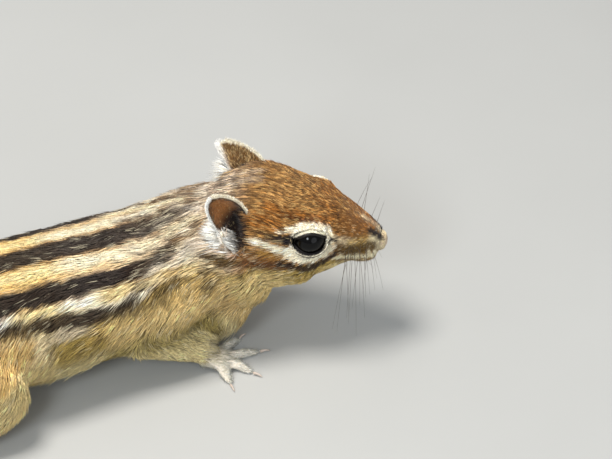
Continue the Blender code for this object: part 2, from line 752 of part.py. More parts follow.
def tail_lengths(paint):
    """The tail in three lengths, each a slim core with overlapping locks of hair on it."""
    tail = along_tail()
    path, _, lengths = tail
    whole = lengths[-1]
    spans = {
        "tail_base": (TAIL_CUTS[0], TAIL_ROOT - GAP),
        "tail_middle": (TAIL_CUTS[1], TAIL_CUTS[0] - GAP),
        "tail_tip": (-300.0, TAIL_CUTS[1] - GAP),
    }
    locks = tail_locks(tail)
    made = []
    for name, (low, high) in spans.items():
        shape = bmesh.new()
        reach = [i for i, p in enumerate(path) if low - 4 < p.x < high + 4 and lengths[i] / whole < 0.9]
        middles = [path[i] for i in reach[::4] + [reach[-1]]]
        radii = [core_radius(lengths[i] / whole) for i in reach[::4] + [reach[-1]]]
        tube(shape, middles, radii, radii, radii, around=10)
        bmesh.ops.triangulate(shape, faces=shape.faces)
        length = add_object(name, shape, paint)
        gathered = bpy.data.collections.new("locks")
        for start, *rest in locks:
            x = tail_station(tail, start)[0].x
            if low < x < high + LOCK_LENGTH * 0.6:
                lock = tail_lock(tail, start, *rest)
                bpy.context.scene.collection.objects.unlink(lock)
                gathered.objects.link(lock)
        modified(length, "BOOLEAN", operation="UNION", operand_type="COLLECTION", collection=gathered)
        for lock in list(gathered.objects):
            remove(lock)
        bpy.data.collections.remove(gathered)
        cell = box("cell", Vector(((low + high) / 2, 0, 0)), ((high - low) / 2, FAR, FAR))
        combined(length, cell, "INTERSECT")
        remove(cell)
        made.append(keep_largest(length))
    return made


def stand_on_origin():
    """Moves everything sideways, so that the origin is under the middle of the whole."""
    corners = [obj.matrix_world @ Vector(corner) for obj in bpy.data.objects for corner in obj.bound_box]
    middle = [(min(c[k] for c in corners) + max(c[k] for c in corners)) / 2 for k in range(2)]
    for obj in bpy.data.objects:
        obj.data.transform(Matrix.Translation((-middle[0], -middle[1], 0)))


def main():
    clear_scene()
    fur = material("fur", (0.42, 0.3, 0.17), 0.85)
    skin = material("bare skin", (0.62, 0.42, 0.36), 0.5)
    ear_skin = material("ear", (0.3, 0.2, 0.15), 0.7)
    black = material("eye", (0.01, 0.008, 0.008), 0.08)
    horn = material("claw", (0.3, 0.24, 0.2), 0.4)
    tail_fur = material("tail fur", (0.3, 0.22, 0.14), 0.85)
    parts = part_flesh(flesh())
    for part in parts.values():
        part.data.materials.append(fur)
    head = parts["head"]
    finish_head(head)
    nose = add_nose(head, skin)
    cut_clear(head, nose)
    for side in ("left", "right"):
        add_eye(side, black)
        ear = add_ear(side, head, ear_skin)
        cut_clear(ear, head)
        add_claws(parts[f"forefoot_{side}"], side, FORE_TOES, 0, "fore", horn)
        add_claws(parts[f"hindfoot_{side}"], side, HIND_TOES, 1, "hind", horn)
    tail_lengths(tail_fur)
    stand_on_origin()
    for obj in bpy.data.objects:
        obj.data.shade_smooth()


main()
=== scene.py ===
import math

import bpy
import numpy as np
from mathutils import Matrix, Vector
from mathutils.bvhtree import BVHTree
from mathutils.kdtree import KDTree


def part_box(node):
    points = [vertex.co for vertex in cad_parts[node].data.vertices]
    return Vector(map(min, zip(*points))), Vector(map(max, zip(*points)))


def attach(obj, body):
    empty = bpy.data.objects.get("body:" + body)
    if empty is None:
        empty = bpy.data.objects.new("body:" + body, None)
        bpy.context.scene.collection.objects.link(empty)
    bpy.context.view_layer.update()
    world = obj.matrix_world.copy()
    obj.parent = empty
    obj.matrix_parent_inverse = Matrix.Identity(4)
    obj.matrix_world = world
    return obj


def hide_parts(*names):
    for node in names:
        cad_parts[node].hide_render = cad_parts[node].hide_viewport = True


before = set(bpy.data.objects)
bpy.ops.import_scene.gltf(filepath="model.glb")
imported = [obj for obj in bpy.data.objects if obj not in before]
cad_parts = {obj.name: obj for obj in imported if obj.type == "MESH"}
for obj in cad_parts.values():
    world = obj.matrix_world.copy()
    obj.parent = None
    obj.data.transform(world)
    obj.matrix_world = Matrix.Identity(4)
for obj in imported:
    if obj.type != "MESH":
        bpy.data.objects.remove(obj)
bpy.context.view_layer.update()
mm = 0.001
sides = ("left", "right")
for leftover in ("Cube", "Light", "Camera"):
    if leftover in bpy.data.objects:
        bpy.data.objects.remove(bpy.data.objects[leftover])
print("frame loaded,", len(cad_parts), "nodes")

# The animal's own layout is in millimetres: x forward, y to its left, z up, with the floor under the withers.
# The head has a layout of its own, turned to the animal's right, with its zero between the eyes.
headSettings = {"between": (31.2, -13.8, 32.4), "eye": (-0.6, 7.95, 0.2), "look": (0.14, 0.95, 0.24), "eyeRadius": 3.9,
                "fluff": [(-21.8, 10.9, 9.5), (-23.2, 11.3, 5.2), (-23.4, 11.9, 2.8), (-20.6, 12.5, 1.4), (-17.6, 13.0, 0.5)]}
eyeMids = {side: np.array((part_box(f"eye_{side}")[0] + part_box(f"eye_{side}")[1]) / 2) / mm for side in sides}
upWay = np.array((0.0, 0.0, 1.0))
leftWay = eyeMids["left"] - eyeMids["right"]
leftWay /= np.linalg.norm(leftWay)
headAxes = np.array((np.cross(leftWay, upWay), leftWay, upWay))
headMid = np.array(headSettings["between"])
betweenEyes = (eyeMids["left"] + eyeMids["right"]) / 2
eyeAhead = headAxes[0] * headSettings["eye"][0] + upWay * headSettings["eye"][2]
shift = betweenEyes - eyeAhead - headMid


def toWorld(points):
    return (np.asarray(points, float) + shift) * mm


def toLayout(points):
    return np.asarray(points, float) / mm - shift


def toHead(points):
    return (np.asarray(points, float) - headMid) @ headAxes.T


def fromHead(points):
    return np.asarray(points, float) @ headAxes + headMid


def unit(rows):
    rows = np.asarray(rows, float)
    return rows / np.maximum(np.linalg.norm(rows, axis=-1, keepdims=True), 1e-9)


def paint(red, green, blue):
    # 0 to 255 as a painter reads them, to the linear values that a shader wants
    share = np.array((red, green, blue)) / 255
    return np.where(share < 0.04045, share / 12.92, ((share + 0.055) / 1.055) ** 2.4)


def ramp(value, low, high):
    share = np.clip((value - low) / (high - low), 0, 1)
    return share * share * (3 - 2 * share)


def band(value, middle, half, soft):
    return 1 - ramp(np.abs(value - middle), half - soft, half + soft)


def mixed(under, over, share):
    share = np.asarray(share, float)
    return under + (over - under) * (share[:, None] if share.ndim else share)


def drift(points, size, seed):
    # a smooth wandering value, about -1 to 1, whose waves are about this many millimetres long
    draws = np.random.default_rng(seed)
    total = np.zeros(len(points))
    for _ in range(7):
        way = unit(draws.normal(size=3))
        total += np.sin(points @ way * (2 * math.pi / size / draws.uniform(0.6, 1.7)) + draws.uniform(0, 6.28))
    return total / 2.6


def pickOnly(obj):
    bpy.ops.object.select_all(action="DESELECT")
    obj.select_set(True)
    bpy.context.view_layer.objects.active = obj


def settle(obj, kind, **settings):
    pickOnly(obj)
    made = obj.modifiers.new(kind.title(), kind)
    for name, value in settings.items():
        setattr(made, name, value)
    bpy.ops.object.modifier_apply(modifier=made.name)


def newMesh(name, points, faces, smooth=True):
    # points in the layout's millimetres; all faces have the same number of corners
    faces = np.asarray(faces, np.int32)
    points = toWorld(points)
    mesh = bpy.data.meshes.new(name)
    mesh.vertices.add(len(points))
    mesh.vertices.foreach_set("co", points.astype(np.float32).ravel())
    mesh.loops.add(faces.size)
    mesh.loops.foreach_set("vertex_index", faces.ravel())
    mesh.polygons.add(len(faces))
    mesh.polygons.foreach_set("loop_start", np.arange(0, faces.size, faces.shape[1], dtype=np.int32))
    mesh.polygons.foreach_set("use_smooth", np.full(len(faces), smooth))
    mesh.update(calc_edges=True)
    made = bpy.data.objects.new(name, mesh)
    bpy.context.scene.collection.objects.link(made)
    return made


def pointsOf(mesh):
    flat = np.empty(len(mesh.vertices) * 3, np.float32)
    mesh.vertices.foreach_get("co", flat)
    return toLayout(flat.reshape(-1, 3))


def normalsOf(mesh):
    flat = np.empty(len(mesh.vertices) * 3, np.float32)
    mesh.vertex_normals.foreach_get("vector", flat)
    return flat.reshape(-1, 3).astype(float)


def setColours(mesh, colours, name="furColour"):
    layer = mesh.color_attributes.new(name=name, type="FLOAT_COLOR", domain="POINT")
    four = np.ones((len(colours), 4), np.float32)
    four[:, :3] = np.clip(colours, 0, 1)
    layer.data.foreach_set("color", four.ravel())


def finishPiece(obj, material, slotName, *nodes):
    obj.data.materials.clear()
    obj.data.materials.append(material)
    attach(obj, "root")
    if nodes:
        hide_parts(*nodes)


# Materials

class Wire:
    # one socket of a material, so that shader maths reads as a plain expression
    def __init__(self, tree, socket=None):
        self.tree = tree
        self.socket = socket

    def add(self, kind, settings=None, values=None, out=0):
        made = self.tree.nodes.new("ShaderNode" + kind)
        for name, value in (settings or {}).items():
            if name == "stops":
                while len(made.color_ramp.elements) < len(value):
                    made.color_ramp.elements.new(0.5)
                for element, (place, colour) in zip(made.color_ramp.elements, value):
                    element.position = place
                    element.color = (*colour, 1)
            else:
                setattr(made, name, value)
        for key, value in (values or {}).items():
            if isinstance(value, Wire):
                self.tree.links.new(value.socket, made.inputs[key])
            else:
                made.inputs[key].default_value = value
        return Wire(self.tree, made.outputs[out])

    def maths(self, operation, first, second):
        return self.add("Math", {"operation": operation}, {0: first, 1: second})

    def __add__(self, other):
        return self.maths("ADD", self, other)

    def __radd__(self, other):
        return self.maths("ADD", other, self)

    def __sub__(self, other):
        return self.maths("SUBTRACT", self, other)

    def __rsub__(self, other):
        return self.maths("SUBTRACT", other, self)

    def __mul__(self, other):
        return self.maths("MULTIPLY", self, other)

    def __rmul__(self, other):
        return self.maths("MULTIPLY", other, self)

    def __pow__(self, other):
        return self.maths("POWER", self, other)

    def noise(self, size, detail=2.0, rough=0.5):
        # size is one wave, in millimetres
        place = self.add("TexCoord", out="Object")
        return self.add("TexNoise", None, {"Vector": place, "Scale": 1 / (size * mm), "Detail": detail, "Roughness": rough})

    def colours(self, share, under, over, way="MIX"):
        return self.add("Mix", {"data_type": "RGBA", "blend_type": way}, {0: share, 6: under, 7: over}, out=2)

    def fromAttribute(self, name):
        return self.add("Attribute", {"attribute_name": name}, out="Color")

    def bump(self, height, strength, distance):
        return self.add("Bump", None, {"Height": height, "Strength": strength, "Distance": distance * mm})


def startMaterial(name, **constants):
    made = bpy.data.materials.new(name)
    made.use_nodes = True
    shader = made.node_tree.nodes["Principled BSDF"]
    for key, value in constants.items():
        shader.inputs[key.replace("_", " ")].default_value = value
    wire = Wire(made.node_tree)

    def feed(socket, value):
        made.node_tree.links.new(value.socket, shader.inputs[socket])

    return made, wire, feed


furSettings = {"roughness": 0.6, "sheen": 0.06, "specular": 0.16}


def furMaterial(name, fleck, dark):
    # the tufts' own colour, with finer streaks of light and shade than the tufts can carry
    made, wire, feed = startMaterial(name, Sheen_Weight=furSettings["sheen"], Sheen_Roughness=0.5,
                                     Specular_IOR_Level=furSettings["specular"])
    coat = wire.fromAttribute("furColour")
    streaks = wire.noise(fleck, 3.0, 0.6)
    shade = streaks * 0.5 + (1 - dark * 0.5)
    grey = wire.add("CombineColor", None, {0: shade, 1: shade, 2: shade})
    feed("Base Color", wire.colours(1.0, coat, grey, "MULTIPLY"))
    feed("Roughness", streaks * 0.2 + (furSettings["roughness"] - 0.1))
    return made


def skinMaterial(name, size):
    # the short underfur: the coat's colours in shade, with a fine nap
    made, wire, feed = startMaterial(name, Specular_IOR_Level=0.15, Sheen_Weight=0.2)
    coat = wire.fromAttribute("furColour")
    nap = wire.noise(size, 4.0, 0.7)
    shade = nap * 0.9 + 0.5
    grey = wire.add("CombineColor", None, {0: shade, 1: shade, 2: shade})
    feed("Base Color", wire.colours(1.0, coat, grey, "MULTIPLY"))
    feed("Roughness", nap * 0.2 + 0.65)
    feed("Normal", wire.bump(nap, 0.6, 0.25))
    return made


# Camera, floor and light

cameraSettings = {"azimuth": -26.0, "elevation": 37.0, "pixelsPerMm": 4.4, "distance": 900.0,
                  "betweenEyes": (315.0, 217.0), "photo": (612, 459)}


def addCamera():
    azimuth, elevation = math.radians(cameraSettings["azimuth"]), math.radians(cameraSettings["elevation"])
    back = np.array((math.sin(azimuth) * math.cos(elevation), -math.cos(azimuth) * math.cos(elevation),
                     math.sin(elevation)))
    right = np.array((math.cos(azimuth), math.sin(azimuth), 0))
    up = np.cross(back, right)
    wide, high = cameraSettings["photo"]
    scale = cameraSettings["pixelsPerMm"]
    across, down = cameraSettings["betweenEyes"]
    aim = headMid + right * ((wide / 2 - across) / scale) + up * ((down - high / 2) / scale)
    data = bpy.data.cameras.new("photoCamera")
    data.sensor_width = 36
    data.lens = scale * cameraSettings["distance"] * 36 / wide
    data.clip_start, data.clip_end = 0.05, 20
    made = bpy.data.objects.new("photoCamera", data)
    bpy.context.scene.collection.objects.link(made)
    made.location = toWorld(aim + back * cameraSettings["distance"])
    made.rotation_mode = "QUATERNION"
    made.rotation_quaternion = Vector(-back).to_track_quat("-Z", "Y")
    bpy.context.scene.camera = made
    return back, right, up


lightSettings = {
    "key": {"place": (-0.30, 0.10, 1.0), "distance": 0.75, "size": 0.3, "watts": 5.8, "tint": (1.0, 0.97, 0.92)},
    "fill": {"place": (0.75, 0.95, 0.35), "distance": 0.9, "size": 0.7, "watts": 1.8, "tint": (0.93, 0.97, 1.0)},
    "catch": {"place": (-0.30, 0.88, 0.66), "distance": 0.8, "size": 0.2, "watts": 2.3, "tint": (0.88, 0.95, 1.0)},
    "world": {"strength": 0.42, "tint": (0.93, 0.96, 1.0)},
}


def addLights(back, right, up):
    # each light's place is right, towards the camera and up, as the photographer sees it
    toCamera = unit(np.array((back[0], back[1], 0)))
    for name in ("key", "fill", "catch"):
        light = lightSettings[name]
        data = bpy.data.lights.new(name, "AREA")
        data.shape, data.size, data.energy, data.color = "DISK", light["size"], light["watts"], light["tint"]
        made = bpy.data.objects.new(name, data)
        bpy.context.scene.collection.objects.link(made)
        across, near, high = light["place"]
        way = unit(right * across + toCamera * near + upWay * high)
        made.location = toWorld((10, -5, 20)) + way * light["distance"]
        made.rotation_mode = "QUATERNION"
        made.rotation_quaternion = Vector(-way).to_track_quat("-Z", "Y")
    world = bpy.data.worlds.new("studio")
    world.use_nodes = True
    shade = world.node_tree.nodes["Background"]
    shade.inputs["Color"].default_value = (*lightSettings["world"]["tint"], 1)
    shade.inputs["Strength"].default_value = lightSettings["world"]["strength"]
    bpy.context.scene.world = world
    bpy.context.scene.view_settings.view_transform = "Standard"


def addFloor():
    bpy.ops.object.select_all(action="DESELECT")
    bpy.ops.mesh.primitive_plane_add(size=6, location=(0, 0, 0))
    floor = bpy.context.object
    floor.name = "floor"
    made, wire, feed = startMaterial("floorPaint", Roughness=0.9)
    cloud = wire.noise(60, 3.0)
    feed("Base Color", wire.colours(cloud, (0.44, 0.44, 0.425, 1), (0.48, 0.48, 0.465, 1)))
    floor.data.materials.append(made)


back, right, up = addCamera()
addLights(back, right, up)
addFloor()
print("camera, lights and floor placed")

# The bare body under the coat: one skin over all the flesh, drawn in by the coat's depth

skinSettings = {
    "weld": 0.00002, "grow": 0.25, "voxel": 0.57, "rounds": 14,
    # places where one form runs into the next: middle, radii and rounds of smoothing
    "softened": {"throat": ((19.0, -12.0, 17.0), (13.0, 15.0, 12.0), 40),
                 "nape": ((15.0, -8.0, 38.0), (12.0, 12.0, 8.0), 30)},
}
limbNames = ("upper_arm", "forearm", "forefoot", "thigh", "shank", "hindfoot")
fleshNodes = ["head", "neck", "torso"] + [f"{limb}_{side}" for limb in limbNames for side in sides]
tailNodes = ["tail_base", "tail_middle", "tail_tip"]
regions = fleshNodes + ["tail"]

# Lines down the middle of each limb and of the tail, for the lie of the coat and its unwrap
spineLine = [(-90, 0, 20), (-60, 0, 20), (-30, 0, 19), (-5, 0, 20), (12, -4, 23), (24, -10, 27), (48, -24, 28)]
tailLine = [(-84, 0, 20.9), (-97, -0.6, 17.4), (-112, -2.4, 14.2), (-130, -7, 12.6), (-149, -15, 12.4), (-167, -25.5, 13.0),
            (-181, -36, 14.0), (-187, -42, 14.6)]
tailCore = [(0.0, 5.2), (0.12, 4.6), (0.6, 4.4), (0.8, 3.4), (0.88, 1.6)]
foreLine = [(4, 8, 22.5), (-13.5, 13.4, 13.6), (-5, 14.6, 8.8), (2.8, 14.8, 4.6), (8, 16, 1.8), (16, 17, 0.8)]
hindLine = [(-67, 7.6, 22), (-50, 17.8, 14.2), (-54, 19.2, 9.2), (-78, 17, 5.2), (-84.5, 16.4, 3.4), (-70, 18, 2.5), (-56, 20, 1)]
limbShift = {"left": {"fore": 6.0, "hind": -5.0}, "right": {"fore": 0.0, "hind": 0.0}}


def smoothLine(points, steps=10):
    points = np.asarray(points, float)
    ends = np.vstack((2 * points[0] - points[1], points, 2 * points[-1] - points[-2]))
    rows = []
    for i in range(1, len(ends) - 2):
        a, b, c, d = ends[i - 1:i + 3]
        for t in np.arange(steps) / steps:
            rows.append(0.5 * (2 * b + (c - a) * t + (2 * a - 5 * b + 4 * c - d) * t * t + (3 * b - a - 3 * c + d) * t ** 3))
    return np.array(rows + [points[-1]])


def limbLine(line, side, limb):
    made = np.array(line, float)
    made[:, 0] += limbShift[side][limb]
    if side == "right":
        made[:, 1] *= -1
    return made


def nearestOn(points, line):
    # for each point: distance along the line as a share, the line's way there, and the place on it
    line = np.asarray(line, float)
    steps = np.linalg.norm(np.diff(line, axis=0), axis=1)
    before = np.concatenate(((0,), np.cumsum(steps)))
    best = np.full(len(points), np.inf)
    share, way, place = np.zeros(len(points)), np.zeros((len(points), 3)), np.zeros((len(points), 3))
    for i, (a, b) in enumerate(zip(line, line[1:])):
        along = np.clip((points - a) @ (b - a) / steps[i] ** 2, 0, 1)
        foot = a + along[:, None] * (b - a)
        gap = np.linalg.norm(points - foot, axis=1)
        closer = gap < best
        best[closer] = gap[closer]
        share[closer] = (before[i] + along[closer] * steps[i]) / before[-1]
        way[closer] = (b - a) / steps[i]
        place[closer] = foot[closer]
    return share, way, place, best


def rod(line, radii, around):
    # points and four-cornered faces of a closed tapering rod
    line = np.asarray(line, float)
    ways = unit(np.gradient(line, axis=0))
    across = unit(np.cross(ways, unit(np.array((0.13, 0.21, 0.97)))))
    over = np.cross(ways, across)
    turn = np.arange(around) * 2 * math.pi / around
    points = (line[:, None] + np.asarray(radii)[:, None, None]
              * (np.cos(turn)[None, :, None] * across[:, None] + np.sin(turn)[None, :, None] * over[:, None]))
    faces = []
    for i in range(len(line) - 1):
        for j in range(around):
            k = (j + 1) % around
            faces.append((i * around + j, i * around + k, (i + 1) * around + k, (i + 1) * around + j))
    points = points.reshape(-1, 3)
    caps = np.array((line[0], line[-1]))
    first = len(points)
    for j in range(0, around, 2):
        k, m = (j + 1) % around, (j + 2) % around
        faces.append((first, m, k, j))
        last = (len(line) - 1) * around
        faces.append((first + 1, last + j, last + k, last + m))
    return np.vstack((points, caps)), faces


def weldedCopy(node, number):
    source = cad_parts[node]
    made = source.copy()
    made.data = source.data.copy()
    made.parent = None
    made.name = "copy"
    for key in list(made.keys()):
        del made[key]
    bpy.context.scene.collection.objects.link(made)
    pickOnly(made)
    bpy.ops.object.mode_set(mode="EDIT")
    bpy.ops.mesh.select_all(action="SELECT")
    bpy.ops.mesh.remove_doubles(threshold=skinSettings["weld"])
    bpy.ops.object.mode_set(mode="OBJECT")
    mark = made.data.attributes.new("region", "INT", "FACE")
    mark.data.foreach_set("value", np.full(len(made.data.polygons), number, np.int32))
    return made


def addSkin():
    pieces = []
    for number, node in enumerate(fleshNodes):
        piece = weldedCopy(node, number)
        settle(piece, "DISPLACE", strength=skinSettings["grow"] * mm, mid_level=0)
        pieces.append(piece)
    line = smoothLine(tailLine)
    share = np.linspace(0, 1, len(line))
    keep = share <= tailCore[-1][0]
    radii = np.interp(share[keep], *zip(*tailCore))
    tail = newMesh("tailCore", *rod(line[keep], radii, 20))
    mark = tail.data.attributes.new("region", "INT", "FACE")
    mark.data.foreach_set("value", np.full(len(tail.data.polygons), len(fleshNodes), np.int32))
    bpy.ops.object.select_all(action="DESELECT")
    for piece in pieces + [tail]:
        piece.select_set(True)
    bpy.context.view_layer.objects.active = pieces[0]
    bpy.ops.object.join()
    skin = pieces[0]
    skin.name = skin.data.name = "skin"
    corners = pointsOf(skin.data)
    faces = [tuple(p.vertices) for p in skin.data.polygons]
    labels = np.empty(len(faces), np.int32)
    skin.data.attributes["region"].data.foreach_get("value", labels)
    tree = BVHTree.FromPolygons([tuple(c) for c in corners], faces)
    settle(skin, "REMESH", mode="VOXEL", voxel_size=skinSettings["voxel"] * mm, adaptivity=0, use_smooth_shade=True)
    settle(skin, "SMOOTH", factor=0.5, iterations=4)
    points = pointsOf(skin.data)
    for name, spot in skinSettings["softened"].items():
        group = skin.vertex_groups.new(name=name)
        weight = 1 - ramp(np.linalg.norm((points - spot[0]) / spot[1], axis=1), 0.6, 1.0)
        for number in np.nonzero(weight > 0.01)[0]:
            group.add([int(number)], float(weight[number]), "REPLACE")
        settle(skin, "SMOOTH", factor=0.5, iterations=spot[2], vertex_group=name)
    points = pointsOf(skin.data)
    label = np.array([labels[tree.find_nearest(Vector(p))[2]] for p in points])
    for name in [a.name for a in skin.data.attributes if a.name == "region"]:
        skin.data.attributes.remove(skin.data.attributes[name])
    return skin, label


skin, regionOf = addSkin()
print("skin joined:", len(skin.data.vertices), "points")

# What the coat does over the skin, for each part of the body, in millimetres
coatSettings = {
    # depth of the coat, hair length, tufts on a square millimetre, tuft width, lift at root and at tip in degrees
    "muzzle": (0.25, 1.3, 20.0, 0.12, 20, 5),
    "face": (0.5, 1.8, 17.0, 0.13, 22, 5),
    "crown": (0.8, 2.8, 16.0, 0.145, 25, 8),
    "neck": (1.3, 4.4, 8.0, 0.2, 32, 8),
    "torso": (1.6, 4.8, 7.8, 0.18, 30, 4),
    "belly": (1.6, 5.6, 5.0, 0.21, 34, 10),
    "upper_arm": (1.1, 3.8, 7.6, 0.18, 30, 6),
    "forearm": (0.7, 2.5, 10.0, 0.15, 28, 6),
    "forefoot": (0.25, 1.5, 15.0, 0.14, 26, 6),
    "thigh": (1.5, 4.6, 6.0, 0.2, 30, 5),
    "shank": (0.9, 2.8, 7.5, 0.17, 30, 6),
    "hindfoot": (0.25, 1.6, 11.0, 0.15, 26, 6),
    "tail": (0.3, 12.5, 8.0, 0.22, 52, 22),
}


class Field:
    # what is known at each point of the skin
    pass


def edgesOf(mesh):
    flat = np.empty(len(mesh.edges) * 2, np.int32)
    mesh.edges.foreach_get("vertices", flat)
    return flat.reshape(-1, 2)


def spread(values, edges, rounds):
    # evens a value out over the skin, so that it changes softly from one part to the next
    values = np.array(values, float)
    flat = values.reshape(len(values), -1)
    count = np.bincount(edges.ravel(), minlength=len(flat)) + 1.0
    for _ in range(rounds):
        total = flat.copy()
        for k in range(flat.shape[1]):
            total[:, k] += np.bincount(edges[:, 0], flat[edges[:, 1], k], len(flat))
            total[:, k] += np.bincount(edges[:, 1], flat[edges[:, 0], k], len(flat))
        flat = total / count[:, None]
    return flat.reshape(values.shape)


def kindOf(points, label):
    # the coat's kind at each point, as rows of coatSettings
    names = list(coatSettings)
    head = toHead(points)
    kind = np.zeros(len(points), int)
    for number, region in enumerate(regions):
        here = label == number
        plain = region.rsplit("_", 1)[0] if region.endswith(sides) else region
        if plain == "head":
            kind[here] = names.index("crown")
            kind[here & (head[:, 0] > -4)] = names.index("face")
            kind[here & (head[:, 0] > 7.5)] = names.index("muzzle")
            kind[here & (head[:, 0] < -3) & (head[:, 2] < -6.5)] = names.index("neck")
            kind[here & (head[:, 0] < -17) & (head[:, 2] > 2)] = names.index("neck")
        elif plain == "torso":
            kind[here] = names.index("torso")
            kind[here & (points[:, 2] < 9)] = names.index("belly")
        else:
            kind[here] = names.index(plain)
    return kind


def lieOf(points, normals, label):
    # which way the hair runs, before it is laid on the skin
    way = np.zeros((len(points), 3))
    head = toHead(points)
    ahead = headAxes[0]
    for number, region in enumerate(regions):
        here = label == number
        spot, normal = points[here], normals[here]
        plain = region.rsplit("_", 1)[0] if region.endswith(sides) else region
        side = "left" if region.endswith("left") else "right"
        if plain == "head":
            made = unit(spot - fromHead((19.0, 0, -3.5)))
            made[:, 2] -= 0.25 * ramp(-head[here][:, 2], 0, 8)
        elif plain in ("torso", "neck"):
            turned = ramp(spot[:, 0], -4, 16)
            axis = unit(mixed(np.array((1.0, 0, 0)) + 0 * spot, ahead + 0 * spot, turned))
            steep = 1 - np.abs(normal[:, 2])
            front = np.clip((normal * axis).sum(1), 0, 1)
            made = -axis
            made[:, 2] -= 0.42 * steep + 1.5 * front
            made += 0.25 * ramp(-normal[:, 2], 0.1, 0.8)[:, None] * normal * np.array((0, 1, 0))
        elif plain in ("upper_arm", "forearm", "forefoot"):
            _, made, _, _ = nearestOn(spot, limbLine(foreLine, side, "fore"))
            made = made.copy()
            if plain == "upper_arm":
                made += np.array((-0.5, 0, -0.6))
        elif plain == "thigh":
            made = np.array((-0.6, 0, -0.8)) + 0 * spot
        elif plain == "shank":
            made = np.array((-0.75, 0, -0.6)) + 0 * spot
        elif plain == "hindfoot":
            made = np.array((0.95, 0.12 * np.sign(spot[:1, 1].mean()), -0.1)) + 0 * spot
        else:
            _, made, _, _ = nearestOn(spot, smoothLine(tailLine))
            made = made.copy()
        way[here] = unit(made)
    return way


def layOn(way, normals):
    # lays a direction flat on the skin
    return unit(way - normals * (way * normals).sum(1)[:, None])


def readSkin():
    field = Field()
    mesh = skin.data
    field.points, field.normals = pointsOf(mesh), normalsOf(mesh)
    field.edges = edgesOf(mesh)
    kind = kindOf(field.points, regionOf)
    values = np.array(list(coatSettings.values()))[kind]
    field.values = spread(values, field.edges, skinSettings["rounds"])
    way = spread(lieOf(field.points, field.normals, regionOf), field.edges, skinSettings["rounds"])
    field.lie = way
    # shares of the coarser parts, softened, for the colours
    parts = ("head", "neck", "torso", "upper_arm", "forearm", "forefoot", "thigh", "shank", "hindfoot", "tail")
    shares = []
    for part in parts:
        wanted = [i for i, region in enumerate(regions) if region == part or region[:-5] == part or region[:-6] == part]
        shares.append(np.isin(regionOf, wanted).astype(float))
    shares = spread(np.array(shares).T, field.edges, 8)
    field.shares = shares
    field.parts = parts
    return field


field = readSkin()
# the skin goes in by the coat's depth
depth = field.values[:, 0] + skinSettings["grow"]
points = field.points - field.normals * depth[:, None]
skin.data.vertices.foreach_set("co", toWorld(points).astype(np.float32).ravel())
skin.data.update()
settle(skin, "SMOOTH", factor=0.5, iterations=2)
field.points, field.normals = pointsOf(skin.data), normalsOf(skin.data)
field.lie = layOn(field.lie, field.normals)
print("skin drawn in under the coat")

# Where the ears stand

earSettings = {"notch": (-15.8, 12.0, -0.8), "tip": (-22.0, 11.5, 12.1), "faces": (0.42, 0.9, 0.0),
               "halfWidth": {"left": 5.3, "right": 4.0}, "bow": {"left": 2.5, "right": 1.2}, "depth": 3.2, "thick": 0.6}


def earFrame(side):
    turn = 1 if side == "left" else -1
    flip = np.array((1, turn, 1))
    notch, tip = np.array(earSettings["notch"]) * flip, np.array(earSettings["tip"]) * flip
    rise = unit(tip - notch)
    faces = np.array(earSettings["faces"]) * flip
    faces = unit(faces - rise * (faces @ rise))
    across = np.cross(rise, faces) * -turn
    axes = np.array((faces, across, rise)) @ headAxes
    return fromHead(notch), axes, np.linalg.norm(tip - notch)


def earHalf(share, side):
    return earSettings["halfWidth"][side] * np.sqrt(np.maximum(1 - np.abs(2 * np.clip(share, 0, 1) - 1) ** 2.3, 0.02))


def earShares(points, side):
    # across from -1 to 1 and up from 0 to 1 on the cup, with the local places
    start, axes, height = earFrame(side)
    local = (points - start) @ axes.T
    share = local[:, 2] / height
    bow = earSettings["bow"][side] * np.sin(math.pi * np.clip(share, 0, 1))
    return (local[:, 1] - bow) / earHalf(share, side), share, local


def inEars(points):
    # 1 where the head's own skin lies in the hollow of an ear
    best = np.zeros(len(points))
    for side in sides:
        across, share, local = earShares(points, side)
        here = ramp(across, -1.05, -0.85) * (1 - ramp(across, 0.6, 0.85)) * ramp(share, -0.06, 0.06) * (1 - ramp(share, 0.8, 0.9))
        best = np.maximum(best, here * (np.abs(local[:, 0]) < earSettings["depth"] + 1.0))
    return best


# Markings

furColours = {name: paint(*tone) for name, tone in {
    "white": (252, 250, 243), "milk": (252, 240, 214), "cream": (247, 234, 198), "ochreCream": (246, 221, 164), "ochre": (224, 187, 116),
    "gold": (220, 170, 82), "olive": (190, 162, 88), "grey": (232, 220, 204), "fawn": (166, 130, 86),
    "crown": (180, 133, 75), "rust": (164, 105, 42), "chestnut": (108, 60, 24), "bark": (50, 34, 24),
    "soot": (35, 30, 33), "foot": (246, 242, 226), "belly": (236, 218, 164), "muzzle": (184, 144, 74),
    "smoke": (112, 84, 40), "arm": (178, 158, 94), "flesh": (226, 196, 176), "earHollowShade": (40, 26, 20),
}.items()}

backSettings = {
    # stripes of the back as the angle round the body from the top, its half width and softness, in degrees
    "axis": 18.0, "middle": (0.0, 10.2, 1.8), "inner": (41.6, 8.8, 1.8), "side": (64.8, 5.4, 1.8),
}

